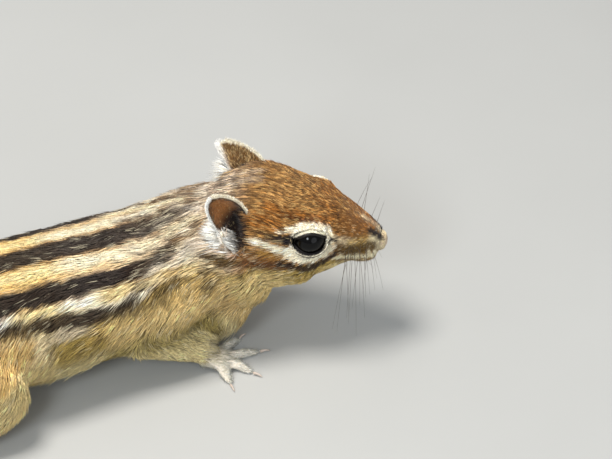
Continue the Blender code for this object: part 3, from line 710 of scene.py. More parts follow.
# Marks of the head: colour, strength, half width, softness, and the line's points in the head's layout
headMarks = [
    ("grey", 0.4, 1.3, 1.0, [(-20, 1.9, 8.9), (-16, 1.3, 10.7), (-12.8, 1.5, 11.2)]),
    ("cream", 0.85, 0.9, 0.6, [(11.8, 0.2, 1.4), (13.4, 0.3, 0.2), (14.6, 0.3, -1.0), (15.6, 0.3, -2.4)]),
    ("rust", 0.7, 2.2, 1.6, [(2.0, 2.5, 7.0), (6.3, 5.0, 3.6), (10.6, 3.4, 1.2), (13.4, 1.2, -0.4)]),
    ("rust", 0.9, 2.3, 1.6, [(-13.0, 10.8, 6.2), (-10.8, 11.0, 6.2), (-8.4, 10.6, 6.2)]),
    ("rust", 0.95, 1.3, 0.9, [(-9.4, 8.6, 8.6), (-8.0, 8.8, 8.1), (-4.9, 8.7, 7.0), (-2.2, 8.2, 6.3), (0.2, 7.8, 5.7), (3.1, 7.2, 4.8)]),
    ("chestnut", 0.75, 0.55, 0.4, [(-7.6, 9.6, 7.4), (-6.4, 9.3, 7.1), (-3.7, 9.0, 6.3), (0.0, 8.4, 5.5)]),
    ("cream", 0.55, 1.0, 0.8, [(4.6, 8.6, 0.6), (6.4, 7.4, -1.0), (8.9, 6.2, -2.1)]),
    ("ochre", 0.75, 0.9, 0.8, [(8.9, 6.2, -2.3), (10.7, 5.2, -2.4), (13.9, 3.2, -3.0)]),
    ("cream", 0.75, 1.3, 0.9, [(13.6, 3.2, -2.9), (14.6, 2.6, -3.6), (15.0, 2.4, -5.0), (14.6, 2.4, -6.4)]),
    ("bark", 1.0, 0.95, 0.6, [(13.7, 2.6, -1.0), (14.7, 2.2, -2.0), (15.4, 1.8, -3.0)]),
    ("smoke", 0.8, 1.3, 0.9, [(5.9, 7.9, -3.2), (7.6, 6.7, -4.2), (9.6, 5.7, -4.6), (11.8, 5.0, -4.6), (13.3, 4.2, -4.4)]),
    ("cream", 0.95, 0.8, 0.5, [(5.4, 7.9, -6.0), (7.6, 6.4, -6.7), (9.6, 5.9, -6.8), (11.9, 5.5, -6.5), (14.1, 4.3, -6.3)]),
    ("gold", 0.6, 0.9, 0.7, [(-10.8, 13.3, -1.2), (-8.6, 13.1, -2.0), (-5.9, 12.6, -3.3)]),
    ("rust", 0.65, 1.0, 0.8, [(-6.6, 12.8, -3.6), (-9.0, 13.2, -3.2), (-12.4, 13.4, -2.8), (-15.0, 14.1, -2.0), (-17.5, 14.6, -0.9)]),
    ("chestnut", 0.8, 0.9, 0.7, [(-5.1, 12.8, -5.0), (-9.0, 13.2, -4.7), (-12.4, 13.4, -4.2), (-15.0, 14.1, -3.4)]),
    ("bark", 0.95, 0.95, 0.4, [(4.8, 8.2, -4.6), (3.0, 8.6, -6.1), (1.3, 10.0, -6.5), (-0.2, 11.3, -6.2), (-1.5, 12.0, -5.9),
                              (-3.4, 12.6, -5.3), (-5.1, 12.8, -4.8), (-6.6, 12.8, -4.3)]),
    ("milk", 1.0, 1.0, 0.4, [(4.4, 8.6, -2.5), (3.3, 9.0, -3.8), (1.7, 9.7, -4.1), (0.4, 10.5, -4.1), (-1.5, 11.5, -3.6),
                              (-3.1, 11.8, -3.1), (-4.8, 12.2, -2.2), (-6.6, 12.6, -1.0), (-8.4, 12.8, 0.2)]),
    ("milk", 1.0, 1.5, 0.5, [(-0.8, 11.3, -3.2), (-3.1, 11.8, -2.4), (-5.0, 12.2, -1.6)]),
    ("milk", 0.9, 0.8, 0.5, [(-8.4, 12.8, 0.5), (-10.2, 13.0, 1.3), (-12.7, 12.9, 1.9)]),
    ("milk", 0.85, 0.55, 0.4, [(-7.3, 11.8, 3.9), (-5.7, 11.3, 4.0), (-4.3, 10.8, 4.1)]),
    ("milk", 1.0, 0.9, 0.4, [(-4.3, 10.8, 4.1), (-2.8, 10.3, 4.1), (-1.2, 9.9, 4.1)]),
    ("milk", 1.0, 1.1, 0.4, [(-1.2, 9.9, 4.0), (0.3, 10.0, 4.0), (1.7, 9.8, 3.8), (2.8, 9.4, 3.3), (3.9, 9.1, 2.2)]),
    ("soot", 0.97, 1.35, 0.4, [(-3.8, 11.5, 1.1), (-5.6, 12.0, 1.7)]),
    ("soot", 0.95, 0.85, 0.4, [(-6.0, 12.0, 1.9), (-8.2, 12.3, 2.4)]),
    ("bark", 0.7, 0.6, 0.5, [(-8.2, 12.3, 2.4), (-9.5, 12.5, 3.2), (-11.8, 12.2, 4.1)]),
    ("soot", 0.95, 0.45, 0.3, [(4.0, 9.2, 0.2), (5.2, 8.6, -0.2)]),
    ("bark", 0.3, 0.3, 0.25, [(16.6, 0.5, -6.6), (14.6, 2.6, -7.4), (11.6, 4.2, -8.1), (8.4, 5.6, -8.2), (6.2, 7.0, -7.2)]),
]


def behindEars(points):
    # how far each point lies in the pale tuft behind an ear
    head = toHead(points)
    mirrored = np.column_stack((head[:, 0], np.abs(head[:, 1]), head[:, 2]))
    gap = nearestOn(mirrored, np.array(headSettings["fluff"]))[3]
    return 1 - ramp(gap + 0.4 * drift(points, 2.0, 33), 1.2, 2.5)


def headColour(points, normals):
    head = toHead(points)
    flip = np.where(head[:, 1] < 0, -1.0, 1.0)
    x, y, z = head[:, 0], np.abs(head[:, 1]), head[:, 2]
    mirrored = np.column_stack((x, y, z))
    facing = normals @ headAxes.T
    facing[:, 1] *= flip
    colour = furColours["crown"] + 0 * points
    colour = mixed(colour, furColours["grey"], 0.55 * ramp(-x, 13, 21.5))
    colour = mixed(colour, furColours["rust"], 0.5 * ramp(x, 1, 7))
    low = ramp(-z, 4.4, 7.0)
    colour = mixed(colour, furColours["olive"], low * ramp(-x, -9, -4))
    colour = mixed(colour, furColours["ochreCream"], 0.6 * ramp(-z, 5.4, 8.0) * ramp(-x, 3, 9))
    colour = mixed(colour, furColours["muzzle"], ramp(x, 5, 9) * ramp(-z, 0.5, 3.5))
    under = ramp(-facing[:, 2], 0.25, 0.75)
    colour = mixed(colour, furColours["belly"], ramp(-z, 7.0, 9.0) * 0.85 * np.maximum(ramp(x, 0, 5), 0.6 * under * ramp(x, -14, -6)))
    socket = np.linalg.norm(mirrored - np.array(headSettings["eye"]), axis=1)
    colour = mixed(colour, furColours["milk"], 1 - ramp(socket, 5.0, 5.6))
    ragged = 0.3 * drift(points, 1.6, 31) + 0.2 * drift(points, 0.8, 32)
    for name, strength, half, soft, line in headMarks:
        line = np.array(line)
        _, _, place, _ = nearestOn(mirrored, line)
        gap = mirrored - place
        gap -= facing * (gap * facing).sum(1)[:, None]
        weight = 1 - ramp(np.linalg.norm(gap, axis=1) + ragged, half - soft, half + soft)
        colour = mixed(colour, furColours[name], strength * weight)
    colour = mixed(colour, furColours["soot"], (1 - ramp(socket, 4.5, 4.85)) * ramp(0.3 - z, 0, 1))
    # the head's skin inside each ear's cup is painted near black: painted shade in the ear's opening
    return mixed(colour, furColours["earHollowShade"], inEars(points))


def backColour(points, normals):
    x, y, z = points.T
    lean = 0.9 * ramp(x, -60, -30) + 0.9 * ramp(x, -30, -14)  # the back's middle line runs a little to the right
    angle = np.degrees(np.arctan2(np.abs(y + lean * (z > 30)), z - backSettings["axis"]))
    angle = angle + 1.1 * drift(points, 5, 41) + 0.6 * drift(points, 2, 42)
    rump = ramp(-x, 52, 76)
    shoulder = ramp(x, -18, -4)
    colour = furColours["ochreCream"] + 0 * points
    colour = mixed(colour, furColours["white"], 0.45 * ramp(x, -34, -24))
    streaky = ramp(drift(points * (0.35, 1, 1), 2.6, 43), -0.2, 0.6)
    colour = mixed(colour, furColours["grey"], 0.45 * shoulder)
    colour = mixed(colour, furColours["fawn"], 0.6 * shoulder * streaky)
    colour = mixed(colour, furColours["ochre"], rump)
    warm = band(angle, 10.5, 3.5, 3) + band(angle, 28.5, 3.5, 3) + band(angle, 57.5, 2.5, 2)
    colour = mixed(colour, furColours["gold"], 0.5 * np.clip(warm, 0, 1) * (1 - 0.7 * shoulder))
    light = band(angle, 54.5, 5.0, 2.0)
    paleParts = np.clip(0.9 * (1 - ramp(x, -47, -41)) + 0.65 * ramp(x, -35, -29) * (1 - ramp(x, -25, -20)), 0, 1)
    outer = mixed(furColours["ochreCream"] + 0 * points, furColours["white"], paleParts)
    outer = mixed(outer, mixed(furColours["cream"], furColours["ochre"], 0.35), shoulder)
    colour = mixed(colour, outer, light)
    below = ramp(angle + 11 * ramp(x, -16, -5), 67, 71)
    flank = furColours["olive"] + 0 * points
    flank = mixed(flank, furColours["grey"], 0.55 * band(x, -31, 5.5, 3) * (1 - ramp(angle, 76, 82)))
    flank = mixed(flank, mixed(furColours["gold"], furColours["cream"], 0.75), (1 - ramp(x, -39, -34)) * (1 - 0.6 * ramp(angle, 84, 110)))
    flank = mixed(flank, mixed(furColours["ochre"], furColours["ochreCream"], 0.4), 0.75 * ramp(x, -14, 4))
    flank = mixed(flank, furColours["ochre"], 0.7 * ramp(points @ headAxes[0], 12, 20) * ramp(26 - z, 0, 8))
    flank = mixed(flank, furColours["ochre"], 0.5 * ramp(x, -30, -22) * (1 - ramp(angle, 84, 96)))
    flank = mixed(flank, furColours["belly"], ramp(angle, 92, 112))
    flank = mixed(flank, furColours["cream"], 0.8 * ramp(angle, 112, 145))
    flank = flank * (1 - 0.14 * ramp(x, -56, -48))[:, None]
    colour = mixed(colour, flank, below)
    mottle = ramp(drift(points, 4.0, 44), 0.05, 0.6) * band(angle, 62, 13, 5) * ramp(x, -22, -16) * (1 - ramp(x, 3, 8))
    colour = mixed(colour, furColours["bark"], 0.5 * mottle)
    place, half, soft = backSettings["side"]
    bend = np.interp(x, (-48, -37, -28.5, -20), (-2.4, -1.6, 2.2, 4.5))
    mark = band(angle, place + bend, half * (0.9 + 0.1 * ramp(x, -50, -38)), soft) * (1 - ramp(x, -17, -9)) * ramp(x, -84, -70)
    colour = mixed(colour, furColours["bark"], 0.95 * mark)
    place, half, soft = backSettings["inner"]
    fade = 1 - ramp(x, -15, -6)
    mark = band(angle, place, half * (1 - 0.25 * ramp(x, -12, 2)), soft) * fade * ramp(x, -90, -74)
    fringe = band(angle, place, half * (1 - 0.25 * ramp(x, -12, 2)) + 1.9, 1.6) * fade * ramp(x, -90, -74)
    colour = mixed(colour, furColours["rust"], 0.5 * fringe)
    colour = mixed(colour, furColours["soot"], 0.95 * mark)
    place, half, soft = backSettings["middle"]
    mark = band(angle, place, half * (1 - 0.35 * ramp(x, -12, 2)), soft) * (1 - 0.6 * ramp(x, -12, 4)) * (1 - ramp(x, 12, 20))
    colour = mixed(colour, furColours["rust"], 0.45 * band(angle, place, half + 1.9, 1.6) * (1 - ramp(x, -12, 4)))
    colour = mixed(colour, furColours["soot"], 0.92 * mark)
    return colour


def neckColour(points, normals):
    x, y, z = points.T
    head = toHead(points)
    colour = mixed(furColours["fawn"] + 0 * points, furColours["grey"], 0.48 + 0.3 * drift(points, 5, 51))
    brown = ramp(drift(points * (0.5, 1, 1), 2.4, 52), 0.1, 0.8)
    colour = mixed(colour, furColours["fawn"], 0.7 * brown)
    colour = mixed(colour, mixed(furColours["ochre"], furColours["ochreCream"], 0.35), 0.8 * ramp(32 - z, 0, 5))
    colour = mixed(colour, furColours["bark"], 0.3 * brown * band(z, 27, 5, 3))
    colour = mixed(colour, mixed(furColours["olive"], furColours["ochreCream"], 0.3), 0.8 * ramp(25 - z, 0, 7) * ramp(points @ headAxes[0], 12, 24))
    return colour


# Streaks of the neck and shoulder: colour, strength, half width, softness, and the line's points on the right side
neckMarks = [
    ("cream", 0.7, 1.1, 1.0, [(-9.0, -6.8, 33.2), (-6.7, -6.8, 33.4), (-2.8, -6.4, 33.8), (0.9, -6.3, 34.8), (3.8, -6.7, 35.8)]),
    ("grey", 0.65, 1.1, 1.0, [(-2.0, -11.5, 31.1), (0.4, -11.7, 31.8), (2.6, -12.3, 32.6)]),
    ("ochre", 0.5, 1.4, 1.0, [(-6.0, -13.6, 28.0), (-3.9, -14.0, 27.8), (-0.3, -14.2, 28.7)]),
    ("bark", 0.85, 1.5, 0.9, [(-14.0, -12.2, 30.4), (-8.2, -11.0, 31.1), (-4.6, -9.7, 31.9), (-1.3, -9.0, 33.1)]),
    ("fawn", 0.7, 1.2, 0.9, [(-1.3, -9.0, 33.1), (1.9, -8.6, 34.3), (4.5, -8.2, 35.5)]),
    ("bark", 0.6, 0.9, 0.9, [(-9.9, -1.8, 34.4), (-4.0, -1.9, 34.5), (-1.2, -2.3, 35.0), (1.9, -2.2, 35.6), (4.6, -1.7, 36.4),
                             (8.1, -0.8, 37.2), (10.2, -0.8, 37.9)]),
    ("smoke", 0.95, 1.4, 1.0, [(4.0, -14.8, 30.8), (6.6, -15.4, 31.4), (8.6, -16.6, 31.2)]),
    ("bark", 0.5, 1.0, 0.9, [(-10.5, -15.4, 26.2), (-7.0, -15.3, 26.3), (-4.5, -15.1, 26.4)]),
]


def streaked(points, normals, colour, share):
    middle = np.interp(points[:, 0], (-5, 12, 24), (0, -4, -10))
    flipped = points[:, 1] > middle
    mirrored = points.copy()
    mirrored[:, 1] = np.where(flipped, 2 * middle - points[:, 1], points[:, 1])
    facing = normals * np.where(flipped[:, None], (1, -1, 1), (1, 1, 1))
    ragged = 0.5 * drift(points * (0.5, 1, 1), 1.8, 53) + 0.4 * drift(points, 0.9, 54)
    for name, strength, half, soft, line in neckMarks:
        gap = mirrored - nearestOn(mirrored, np.array(line))[2]
        gap -= facing * (gap * facing).sum(1)[:, None]
        weight = 1 - ramp(np.linalg.norm(gap, axis=1) + ragged, half - soft, half + soft)
        colour = mixed(colour, furColours[name], strength * weight * share)
    return colour


def tailColour(points, normals, share):
    # each hair is ochre at its root, then black, then pale at its tip
    ochre = mixed(furColours["ochre"], furColours["grey"], 0.35) + 0 * points
    colour = mixed(ochre, furColours["soot"], ramp(share, 0.3, 0.45))
    return mixed(colour, furColours["white"], ramp(share, 0.72, 0.84))


def coatColour(points, normals, shares, share=0.5):
    parts = dict(zip(field.parts, shares.T))
    colour = backColour(points, normals)
    colour = mixed(colour, neckColour(points, normals), parts["neck"] * ramp(points[:, 0], -2, 8))
    colour = streaked(points, normals, colour, np.clip(parts["neck"] + parts["torso"] + 0.6 * parts["upper_arm"], 0, 1))
    colour = mixed(colour, headColour(points, normals), ramp(parts["head"], 0.2, 0.8))
    leg = mixed(furColours["gold"] + 0 * points, furColours["ochreCream"], 0.5 - 0.2 * ramp(17 - points[:, 2], 0, 6))
    colour = mixed(colour, leg, parts["thigh"] * ramp(27 - points[:, 2], 0, 5))
    colour = mixed(colour, mixed(furColours["belly"], furColours["ochre"], 0.3) + 0 * points, parts["shank"])
    arm = furColours["arm"] + 0 * points
    colour = mixed(colour, mixed(arm, mixed(furColours["ochre"], furColours["ochreCream"], 0.5), ramp(points[:, 2], 12, 19)), parts["upper_arm"] * ramp(25 - points[:, 2], 0, 6))
    colour = mixed(colour, mixed(arm, furColours["belly"], ramp(13 - points[:, 2], 0, 6)), parts["forearm"])
    foot = mixed(furColours["foot"] + 0 * points, furColours["belly"] * 0.75, 0.9 * ramp(points[:, 2], 1.6, 4.5))
    colour = mixed(colour, foot, np.clip(parts["forefoot"] + parts["hindfoot"], 0, 1))
    head = toHead(points)
    patch = (np.column_stack((head[:, 0], np.abs(head[:, 1]), head[:, 2])) - (-19.4, 13.4, -3.0)) / (3.4, 3.0, 1.5)
    colour = mixed(colour, furColours["smoke"], 0.95 * (1 - ramp(np.linalg.norm(patch, axis=1), 0.7, 1.3)))
    fluff = behindEars(points) * np.clip(parts["head"] + parts["neck"], 0, 1) * (1 - inEars(points))
    colour = mixed(colour, mixed(furColours["white"], furColours["grey"], 0.6), 0.9 * fluff)
    return mixed(colour, tailColour(points, normals, np.full(len(points), share)), parts["tail"])


skinColours = coatColour(field.points, field.normals, field.shares, 0.1)
feet = np.clip(field.shares[:, 5] + field.shares[:, 8], 0, 1)
# the underfur takes the coat's colours darkened, dark tones most: painted shade under the coat
skinColours = skinColours * (0.4 + 0.35 * ramp(skinColours.mean(1), 0.3, 0.7))[:, None]
skinColours = mixed(skinColours, mixed(furColours["flesh"], furColours["foot"], 0.6), 0.85 * feet)
setColours(skin.data, skinColours)
finishPiece(skin, skinMaterial("underfur", 0.35), "coat", *fleshNodes, *tailNodes)
print("skin coloured")

# Eyes

eyeSettings = {"bulge": 0.25, "bulgeAngle": 50.0, "opening": (3.75, 2.5), "lidThick": 0.3, "front": 1.9, "rear": 1.1,
               "shift": (0.25, -0.4)}


def eyeFrame(side):
    turn = 1 if side == "left" else -1
    middle = toLayout(eyeMids[side] * mm)
    look = unit(np.array(headSettings["look"]) * (1, turn, 1) @ headAxes)
    ahead = unit(headAxes[0] - look * (headAxes[0] @ look))
    over = np.cross(look, ahead) * -turn
    if over[2] < 0:
        over = -over
    return middle, look, ahead, over


def eyeMaterial():
    made, wire, feed = startMaterial("eyeGloss", IOR=1.27)
    cloud = wire.noise(1.2, 2.0)
    feed("Base Color", wire.colours(cloud, (0.0008, 0.0009, 0.0012, 1), (0.0022, 0.0018, 0.0015, 1)))
    feed("Roughness", cloud * 0.05 + 0.03)
    return made


def lidMaterial():
    made, wire, feed = startMaterial("lidSkin", Specular_IOR_Level=0.25)
    grain = wire.noise(0.3, 3.0)
    feed("Base Color", wire.colours(grain, (0.004, 0.003, 0.003, 1), (0.014, 0.010, 0.008, 1)))
    feed("Roughness", grain * 0.2 + 0.35)
    feed("Normal", wire.bump(grain, 0.4, 0.1))
    return made


def addEye(side, gloss, lidSkin):
    middle, look, ahead, over = eyeFrame(side)
    bpy.ops.object.select_all(action="DESELECT")
    radius = headSettings["eyeRadius"]
    bpy.ops.mesh.primitive_uv_sphere_add(segments=48, ring_count=32, radius=radius * mm, location=toWorld(middle))
    eye = bpy.context.object
    bpy.ops.object.transform_apply(location=True, rotation=True, scale=True)
    eye.name = eye.data.name = "eye" + side.title()
    ways = unit(pointsOf(eye.data) - middle)
    turned = np.degrees(np.arccos(np.clip(ways @ look, -1, 1)))
    rise = eyeSettings["bulge"] * (1 - ramp(turned, 0, eyeSettings["bulgeAngle"]))
    eye.data.vertices.foreach_set("co", toWorld(middle + ways * (radius + rise)[:, None]).astype(np.float32).ravel())
    pickOnly(eye)
    bpy.ops.object.shade_smooth()
    finishPiece(eye, gloss, "eye", f"eye_{side}")
    # the lids: a dark rim round the opening, drawn out to a point in front and behind
    bpy.ops.object.select_all(action="DESELECT")
    bpy.ops.mesh.primitive_torus_add(major_segments=72, minor_segments=10, major_radius=1, minor_radius=0.1)
    lid = bpy.context.object
    lid.name = lid.data.name = "lids" + side.title()
    flat = np.empty(len(lid.data.vertices) * 3, np.float32)
    lid.data.vertices.foreach_get("co", flat)
    ring = flat.reshape(-1, 3).astype(float)
    angle = np.arctan2(ring[:, 1], ring[:, 0])
    outward, high = (np.hypot(ring[:, 0], ring[:, 1]) - 1) * 10, ring[:, 2] * 10
    long, tall = eyeSettings["opening"]
    forward, down = eyeSettings["shift"]
    pull = np.where(np.cos(angle) > 0, eyeSettings["front"], eyeSettings["rear"]) * np.abs(np.cos(angle)) ** 10
    alongEye = np.cos(angle) * long + np.sign(np.cos(angle)) * pull * 0.6
    upEye = np.sin(angle) * tall * (1 - np.where(np.sin(angle) > 0, 0.3, 0.12) * np.cos(angle) ** 2) - 0.5 * pull * np.sign(np.cos(angle)) * 0.5
    flatWay = ahead * (alongEye + forward)[:, None] + over * (upEye + down)[:, None]
    reach = np.minimum(np.linalg.norm(flatWay, axis=1), radius + 1.2)
    deep = np.sqrt(np.maximum((radius + 0.12) ** 2 - reach ** 2, 0)) * (reach < radius) + 0.1
    deep = np.where(reach < radius - 0.1, np.sqrt(np.maximum((radius + 0.12) ** 2 - reach ** 2, 0.05)), 0.9 - 0.7 * (reach - radius + 0.1))
    thick = eyeSettings["lidThick"] * (1 + 0.25 * np.sin(angle))
    spots = middle + flatWay + look * deep[:, None]
    spots += unit(flatWay) * (outward * thick)[:, None] + look * (high * thick)[:, None]
    lid.data.vertices.foreach_set("co", toWorld(spots).astype(np.float32).ravel())
    lid.location = (0, 0, 0)
    pickOnly(lid)
    bpy.ops.object.mode_set(mode="EDIT")
    bpy.ops.mesh.select_all(action="SELECT")
    bpy.ops.mesh.normals_make_consistent(inside=False)
    bpy.ops.object.mode_set(mode="OBJECT")
    bpy.ops.object.shade_smooth()
    finishPiece(lid, lidSkin, "eye")


gloss, lidSkin = eyeMaterial(), lidMaterial()
for side in sides:
    addEye(side, gloss, lidSkin)
print("eyes and lids made")

# Nose

noseSettings = {"middle": (14.4, 0, -5.4), "radii": (2.25, 2.45, 2.35), "nostril": (15.7, 1.55, -4.4), "pit": 0.75,
                "pitRadius": 0.6, "groove": 0.25}


def addNose():
    bpy.ops.object.select_all(action="DESELECT")
    bpy.ops.mesh.primitive_uv_sphere_add(segments=64, ring_count=48, radius=1)
    nose = bpy.context.object
    nose.name = nose.data.name = "nosePad"
    flat = np.empty(len(nose.data.vertices) * 3, np.float32)
    nose.data.vertices.foreach_get("co", flat)
    ball = flat.reshape(-1, 3).astype(float)
    spots = np.array(noseSettings["middle"]) + ball * noseSettings["radii"]
    outward = unit(ball / noseSettings["radii"])
    dark = np.zeros(len(spots))
    for turn in (1, -1):
        gap = np.linalg.norm((spots - np.array(noseSettings["nostril"]) * (1, turn, 1)) * (1, 1, 1.25), axis=1)
        pit = 1 - ramp(gap, 0.25, noseSettings["pitRadius"] + 0.2)
        spots = spots - outward * (noseSettings["pit"] * pit)[:, None]
        dark = np.maximum(dark, pit)
    groove = (1 - ramp(np.abs(ball[:, 1]), 0.02, 0.2)) * ramp(-ball[:, 2], -0.3, 0.4) * ramp(ball[:, 0], 0, 0.5)
    spots = spots - outward * (noseSettings["groove"] * groove)[:, None]
    nose.data.vertices.foreach_set("co", toWorld(fromHead(spots)).astype(np.float32).ravel())
    nose.data.update()
    pickOnly(nose)
    bpy.ops.object.shade_smooth()
    colours = mixed(paint(206, 184, 160) + 0 * spots, paint(150, 122, 98), ramp(ball[:, 2], 0.1, 0.8))
    # the nostril pits and the groove down the middle are painted darker: painted shade in these recesses
    colours = mixed(colours, paint(60, 40, 30), ramp(dark, 0.25, 0.8))
    setColours(nose.data, mixed(colours, paint(120, 84, 66), 0.6 * groove))
    made, wire, feed = startMaterial("noseSkin", Specular_IOR_Level=0.5, Coat_Roughness=0.25)
    grain = wire.add("TexVoronoi", {"feature": "F1"}, {"Vector": wire.add("TexCoord", out="Object"), "Scale": 4000.0})
    feed("Base Color", wire.colours(grain * 0.35, wire.fromAttribute("furColour"), (0.2, 0.12, 0.09, 1)))
    feed("Roughness", grain * 0.2 + 0.35)
    feed("Normal", wire.bump(grain, 0.35, 0.12))
    finishPiece(nose, made, "nose", "nose")


addNose()
print("nose made")

# Ears

def earColour(points, normals, side):
    across, share, _ = earShares(points, side)
    _, axes, height = earFrame(side)
    inside = ramp(normals @ axes[0], -0.05, 0.25)
    edge = np.minimum((1 - np.abs(across)) * earHalf(share, side), (1 - share) * height * 0.8)
    outer = mixed(furColours["crown"] + 0 * points, furColours["bark"], 0.45 * ramp(across, -0.5, 0.1))
    outer = mixed(outer, furColours["white"], 0.9 * ramp(-across + 0.3 * ramp(share, 0.6, 1.0), 0.1, 0.7))
    inner = mixed(paint(98, 66, 34) + 0 * points, paint(180, 118, 62), ramp(edge + 0.5 * drift(points, 1.5, 35), 0.3, 1.9))
    # the lower inside of the ear, towards its opening, darkens to near black: painted shade deep in the cup
    inner = mixed(inner, paint(40, 25, 19), 1 - ramp(share - 0.12 * across, 0.42, 0.7))
    colour = mixed(outer, inner, inside)
    front = ramp(across, 0.55, 0.85)
    colour = mixed(colour, furColours["crown"], front * (1 - ramp(share, 0.25, 0.45)))
    reach = 0.42 - 0.2 * (1 - inside) * ramp(across, -0.6, 0.0)
    rim = (1 - ramp(edge, reach * 0.3, reach)) * ramp(share, 0.1, 0.35) * (1 - front * (1 - ramp(share, 0.3, 0.5)))
    return mixed(colour, mixed(furColours["white"] + 0 * points, furColours["milk"], ramp(across, -0.5, 0.3)), 0.92 * rim)


def addEar(side, material):
    bpy.ops.object.select_all(action="DESELECT")
    bpy.ops.mesh.primitive_grid_add(x_subdivisions=30, y_subdivisions=36, size=2)
    ear = bpy.context.object
    ear.name = ear.data.name = "ear" + side.title()
    flat = np.empty(len(ear.data.vertices) * 3, np.float32)
    ear.data.vertices.foreach_get("co", flat)
    sheet = flat.reshape(-1, 3).astype(float)
    across, share = sheet[:, 0], (sheet[:, 1] + 1) / 2
    start, axes, height = earFrame(side)
    deep = earSettings["depth"] * np.sin(math.pi * np.minimum(0.18 + 0.72 * share, 1))
    local = np.column_stack((-deep * (1 - np.abs(across) ** 2.2),
                             earSettings["bow"][side] * np.sin(math.pi * share) + across * earHalf(share, side), share * height))
    ear.data.vertices.foreach_set("co", toWorld(start + local @ axes).astype(np.float32).ravel())
    ear.data.update()
    settle(ear, "SOLIDIFY", thickness=earSettings["thick"] * mm, offset=0, use_even_offset=False)
    settle(ear, "REMESH", mode="VOXEL", voxel_size=0.22 * mm, adaptivity=0, use_smooth_shade=True)
    settle(ear, "SMOOTH", factor=0.5, iterations=3)
    # the ear's skin takes its coat's colours darkened to seven tenths: painted shade under its short fur
    setColours(ear.data, earColour(pointsOf(ear.data), normalsOf(ear.data), side) * 0.7)
    finishPiece(ear, material, "ear", f"ear_{side}")
    return ear


earSkin = skinMaterial("earSkin", 0.3)
ears = {side: addEar(side, earSkin) for side in sides}
print("ears made")

# The coat: closed three-sided tufts, in pieces that follow the body's parts

tuftSettings = {"sink": 0.12, "clump": 0.4, "clumpEvery": 5, "ownTone": 0.25, "jitter": 6.0, "wander": 9.0, "patch": 0.003}


def trianglesOf(mesh):
    mesh.calc_loop_triangles()
    flat = np.empty(len(mesh.loop_triangles) * 3, np.int32)
    mesh.loop_triangles.foreach_get("vertices", flat)
    return flat.reshape(-1, 3)


def scatter(points, triangles, density, dice):
    # roots spread evenly over the skin: a triangle and the shares of its corners for each
    a, b, c = (points[triangles[:, k]] for k in range(3))
    area = np.linalg.norm(np.cross(b - a, c - a), axis=1) / 2
    wanted = area * density[triangles].mean(1)
    count = np.floor(wanted + dice.random(len(wanted))).astype(int)
    chosen = np.repeat(np.arange(len(triangles)), count)
    u, v = dice.random((2, len(chosen)))
    over = u + v > 1
    u[over], v[over] = 1 - u[over], 1 - v[over]
    return triangles[chosen], np.column_stack((1 - u - v, u, v))


def atRoots(values, corners, shares):
    if values.ndim == 1:
        return (values[corners] * shares).sum(1)
    return (values[corners] * shares[:, :, None]).sum(1)


def turned(way, normals, degrees):
    angle = np.radians(degrees)[:, None]
    return way * np.cos(angle) + np.cross(normals, way) * np.sin(angle)


def tuftLines(roots, normals, way, length, lift, tipLift, dice, clump=None):
    # root, bend and tip of each tuft, with neighbours drawn together into small locks
    low, high = np.radians(lift)[:, None], np.radians(tipLift)[:, None]
    bend = roots + (way * np.cos(low) + normals * np.sin(low)) * (length * 0.45)[:, None]
    tip = bend + (way * np.cos(high) + normals * np.sin(high)) * (length * 0.55)[:, None]
    every = tuftSettings["clumpEvery"]
    leaders = np.arange(0, len(roots), every)
    dice.shuffle(leaders)
    tree = KDTree(len(leaders))
    for number, leader in enumerate(leaders):
        tree.insert(roots[leader], number)
    tree.balance()
    nearest = leaders[[tree.find(p)[1] for p in roots]]
    pull = (tuftSettings["clump"] if clump is None else clump) * dice.uniform(0.4, 1.3, len(roots))
    apart = np.linalg.norm(roots - roots[nearest], axis=1)
    pull *= (apart < length * 0.7 + 0.6) * ((normals * normals[nearest]).sum(1) > 0.6)
    tip += (tip[nearest] - tip) * pull[:, None]
    bend += (bend[nearest] - bend) * (pull * 0.35)[:, None]
    return bend, tip, nearest


def unwrap(points, line):
    # the coat's own map: along the part's middle line, and round it
    share, way, place, _ = nearestOn(points, line)
    out = layOn(points - place, way)
    side = unit(np.cross(way, upWay))
    over = np.cross(side, way)
    angle = np.arctan2((out * side).sum(1), (out * over).sum(1)) / (2 * math.pi) + 0.5
    flat = np.column_stack((angle, share))
    low, high = flat.min(0), flat.max(0)
    return 0.01 + 0.97 * (flat - low) / np.maximum(high - low, 1e-6)


